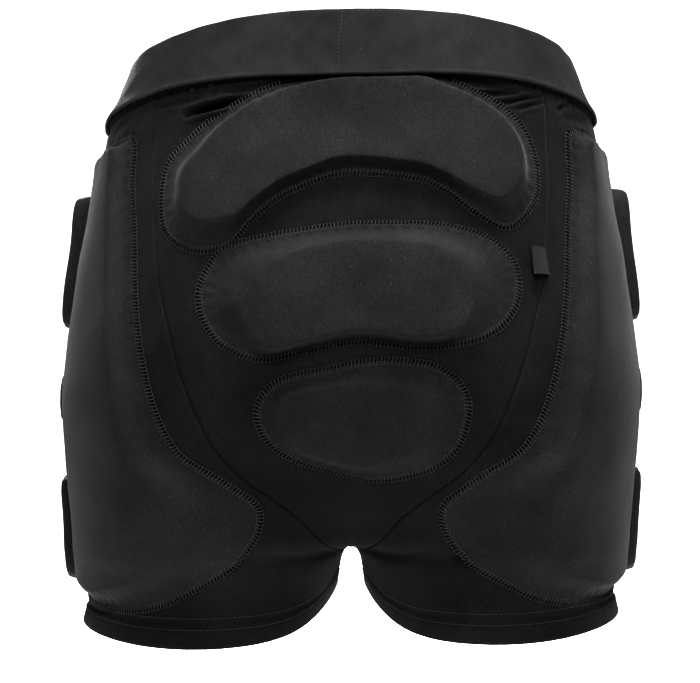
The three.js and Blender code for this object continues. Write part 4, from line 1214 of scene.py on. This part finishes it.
def finish(name, colour, roughness, sheen, specular, pattern=None, sizes=None, bump=0.0002, fluff=0.5, rim=0.0, patch=22,
           edge_at=None):
    """A cloth, elastic or thread from its pattern, dye and fluff, with worn rims that also carry a painted highlight
    along the pads' bevels.
    """
    material = bpy.data.materials.new(name)
    material.use_nodes = True
    tree = material.node_tree
    shader = tree.nodes["Principled BSDF"]
    where = tree.nodes.new("ShaderNodeTexCoord")
    worn = placed(tree, WEAR, where.outputs["Object"], Patch=patch, Fluff=fluff)
    tone, height = worn["Tone"], worn["Grain"]
    if pattern:
        cloth = placed(tree, pattern, where.outputs["UV"], **sizes)
        tone = value_node(tree, "MULTIPLY", tone, cloth["Tone"])
        height = value_node(tree, "MULTIPLY_ADD", worn["Grain"], 0.5, cloth["Height"])
    # Painted highlight with wear: the rim attribute lightens the pads' bevels and plateau edges.
    if rim:
        edge = tree.nodes.new("ShaderNodeAttribute")
        edge.attribute_name = "rim"
        tone = value_node(tree, "MULTIPLY", tone, value_node(tree, "MULTIPLY_ADD", edge.outputs["Fac"], rim, 1))
    # Tone is raised by up to 70 per cent over the few millimetres past edge_at, along the band's lower edge.
    if edge_at:
        _, along, _ = split(tree, where.outputs["UV"])
        past = value_node(tree, "DIVIDE", value_node(tree, "SUBTRACT", along, edge_at), 0.0015)
        past = value_node(tree, "MINIMUM", value_node(tree, "MAXIMUM", past, 0), 1)
        tone = value_node(tree, "MULTIPLY", tone, value_node(tree, "MULTIPLY_ADD", past, 0.7, 1))
    dyed = tree.nodes.new("ShaderNodeMix")
    dyed.data_type = "RGBA"
    base = [v for v in dyed.inputs if v.type == "RGBA"]
    base[0].default_value = (0, 0, 0, 1)
    base[1].default_value = (*[2 * c for c in colour], 1)
    tree.links.new(value_node(tree, "MULTIPLY", tone, 0.5), dyed.inputs["Factor"])
    dyed_colour = next(v for v in dyed.outputs if v.type == "RGBA")
    fluffy = tree.nodes.new("ShaderNodeMix")
    fluffy.data_type = "RGBA"
    base = [v for v in fluffy.inputs if v.type == "RGBA"]
    tree.links.new(dyed_colour, base[0])
    base[1].default_value = (0.06, 0.06, 0.06, 1)
    tree.links.new(worn["Fluff"], fluffy.inputs["Factor"])
    tree.links.new(next(v for v in fluffy.outputs if v.type == "RGBA"), shader.inputs["Base Color"])
    tree.links.new(value_node(tree, "MULTIPLY_ADD", worn["Grain"], 0.14, roughness - 0.07), shader.inputs["Roughness"])
    relief = tree.nodes.new("ShaderNodeBump")
    relief.inputs["Strength"].default_value = 0.6
    relief.inputs["Distance"].default_value = bump
    tree.links.new(height, relief.inputs["Height"])
    tree.links.new(relief.outputs["Normal"], shader.inputs["Normal"])
    shader.inputs["Sheen Weight"].default_value = sheen
    shader.inputs["Sheen Roughness"].default_value = 0.45
    shader.inputs["Sheen Tint"].default_value = (0.75, 0.75, 0.77, 1)
    shader.inputs["Specular IOR Level"].default_value = specular
    return material


JERSEY = {"Wale": 0.0009, "Course": 0.00085}
cloth = finish("black_jersey", (0.0085, 0.0084, 0.0088), 0.86, 0.04, 0.12, KNIT, JERSEY, bump=0.00012)
# The pad covers get a painted highlight and a worn look along their bevels from the rim attribute.
pad_cloth = finish(
    "black_pad_jersey", (0.0115, 0.0114, 0.0119), 0.82, 0.06, 0.15, KNIT, {"Wale": 0.001, "Course": 0.00095}, bump=0.00012, rim=0.03,
)
elastic = finish(
    "black_woven_elastic", (0.0090, 0.0090, 0.0093), 0.78, 0.03, 0.17, RIBS, {"Rib": 0.0013, "Pick": 0.0011}, bump=0.00022, patch=60, edge_at=0.038,
)
thread = finish("dark_grey_thread", (0.03, 0.03, 0.031), 0.65, 0.05, 0.2, bump=0.0001, fluff=0, patch=200)
ribbon = finish("black_ribbon", (0.013, 0.013, 0.0138), 0.6, 0.03, 0.2, RIBS, {"Rib": 0.0005, "Pick": 0.0004}, bump=0.00008, fluff=0.2)


# The shorts
def dressed(made, material, slot_name, *replaced):
    made.data.materials.clear()
    made.data.materials.append(material)
    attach(made, "root")
    if replaced:
        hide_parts(*replaced)
    return made


bar, run = cover_stitch(2.3, 4.6), running_stitch(3.0)

stitch_rows = {}
for number, pad in enumerate((*BACK_PADS, *HIP_PADS, *SIDE_PADS)):
    cover = pad_cover(pad, 4.0 if number < 3 else 4.6)
    dressed(cover, pad_cloth, "pad_cloth", pad.name)
    dressed(round_pad(pad, bar, 2.3, thread, number), thread, "cloth")

hems, hem_rows = {}, {}
for side, hand in HANDS:
    hems[side] = dressed(hem(f"leg_hem_{side}", hand), cloth, "cloth", f"hem_{side}")
    turns = np.linspace(1, -1, 300, endpoint=False)
    hands = np.full(len(turns), float(hand))
    rows = []
    for up, lift in ((9.5, HEM_PROUD - 0.2), (15.2, 0.0)):
        level = np.full(len(turns), 2 - up / INSEAM)
        place = (level, turns, hands)
        rows.append(dressed(
            sewn(f"hem_stitches_{side}_{'lower' if up < 12 else 'upper'}", on_cloth(place, lift), facing(*place), run, 3.0, thread, turn=0.04),
            thread, "cloth",
        ))
    hem_rows[side] = rows

panels = {
    "seat_panel": middle_panel("seat_cloth", True),
    "front_panel": middle_panel("front_cloth", False),
    "leg_panel_right": leg_panel("leg_cloth_right", 1),
    "leg_panel_left": leg_panel("leg_cloth_left", -1),
}
for node, (made, (width, length, area)) in panels.items():
    dressed(made, cloth, "cloth", node)
    side = node.rsplit("_", 1)[-1]
    min(area, width * length)

band = dressed(waistband(), elastic, "elastic", "waistband")
seam_levels = np.linspace(-0.93, -0.07, 30)
across = -7 + 1.2 * np.sin(seam_levels * 5)
place = (seam_levels, 1 - np.abs(across) / back_length(seam_levels), np.sign(across))
top = BAND_CLEARANCE + BAND_THICKNESS
dressed(
    sewn("band_join_stitches", on_cloth(place, top + 0.35), facing(*place), run, 2.6, thread, closed=False),
    thread, "elastic",
)
dressed(label(), ribbon, "ribbon", "label_tag")
for template in (bar, run):
    bpy.data.objects.remove(template)


# Studio
def area_light(name, place, target, power, width, height):
    lamp = bpy.data.lights.new(name, "AREA")
    lamp.shape, lamp.energy, lamp.size, lamp.size_y = "RECTANGLE", power, width, height
    made = bpy.data.objects.new(name, lamp)
    made.location = place
    made.rotation_euler = (Vector(target) - Vector(place)).to_track_quat("-Z", "Y").to_euler()
    bpy.context.scene.collection.objects.link(made)


def seen_and_cast(tree, seen, cast):
    """A strength for what the camera sees, and another for the light that falls on the shorts."""
    ray = tree.nodes.new("ShaderNodeLightPath").outputs["Is Camera Ray"]
    return value_node(tree, "MULTIPLY_ADD", ray, seen - cast, cast)


area_light("high_light", (0.1, -0.45, 1.35), (0, -0.05, -0.15), 54, 0.6, 0.4)
area_light("back_light", (0.1, -1.3, 0.8), (0, -0.05, -0.15), 34, 0.6, 0.4)
area_light("belly_light", (-0.3, 1.5, 0.7), (0, 0.05, -0.15), 60, 0.8, 0.6)
area_light("right_strip", (1.3, 0.35, -0.1), (0.12, 0, -0.18), 4.5, 0.3, 1.1)
area_light("left_strip", (-1.3, 0.35, -0.1), (-0.12, 0, -0.18), 4.5, 0.3, 1.1)

world = bpy.data.worlds.new("studio")
world.use_nodes = True
world.node_tree.nodes["Background"].inputs["Color"].default_value = (1, 1, 1, 1)
world_tree = world.node_tree
world_tree.links.new(seen_and_cast(world_tree, 1.0, 0.05), world_tree.nodes["Background"].inputs["Strength"])
bpy.context.scene.world = world
bpy.context.scene.view_settings.view_transform = "Standard"
bpy.context.scene.view_settings.look = "Very High Contrast"

floor_mesh = bpy.data.meshes.new("floor")
floor_points = [(8 * math.cos(a), 8 * math.sin(a), -0.62) for a in np.linspace(0, 2 * math.pi, 64, endpoint=False)]
floor_mesh.from_pydata(floor_points, [], [list(range(64))])
floor = bpy.data.objects.new("floor", floor_mesh)
bpy.context.scene.collection.objects.link(floor)
paper = bpy.data.materials.new("pale_floor")
paper.use_nodes = True
paper.node_tree.nodes["Principled BSDF"].inputs["Base Color"].default_value = (0.92, 0.92, 0.92, 1)
paper.node_tree.nodes["Principled BSDF"].inputs["Roughness"].default_value = 0.9
paper.node_tree.nodes["Principled BSDF"].inputs["Emission Color"].default_value = (1, 1, 1, 1)
glow = paper.node_tree.nodes["Principled BSDF"].inputs["Emission Strength"]
paper.node_tree.links.new(seen_and_cast(paper.node_tree, 0.9, 0.1), glow)
floor_mesh.materials.append(paper)

lens = bpy.data.cameras.new("camera")
lens.sensor_width = 36
lens.lens = 1912 / 700 * 36
camera = bpy.data.objects.new("camera", lens)
camera.location = (-0.0007, -1.3, -0.1637)
camera.rotation_euler = (math.radians(90), 0, 0)
bpy.context.scene.collection.objects.link(camera)
bpy.context.scene.camera = camera
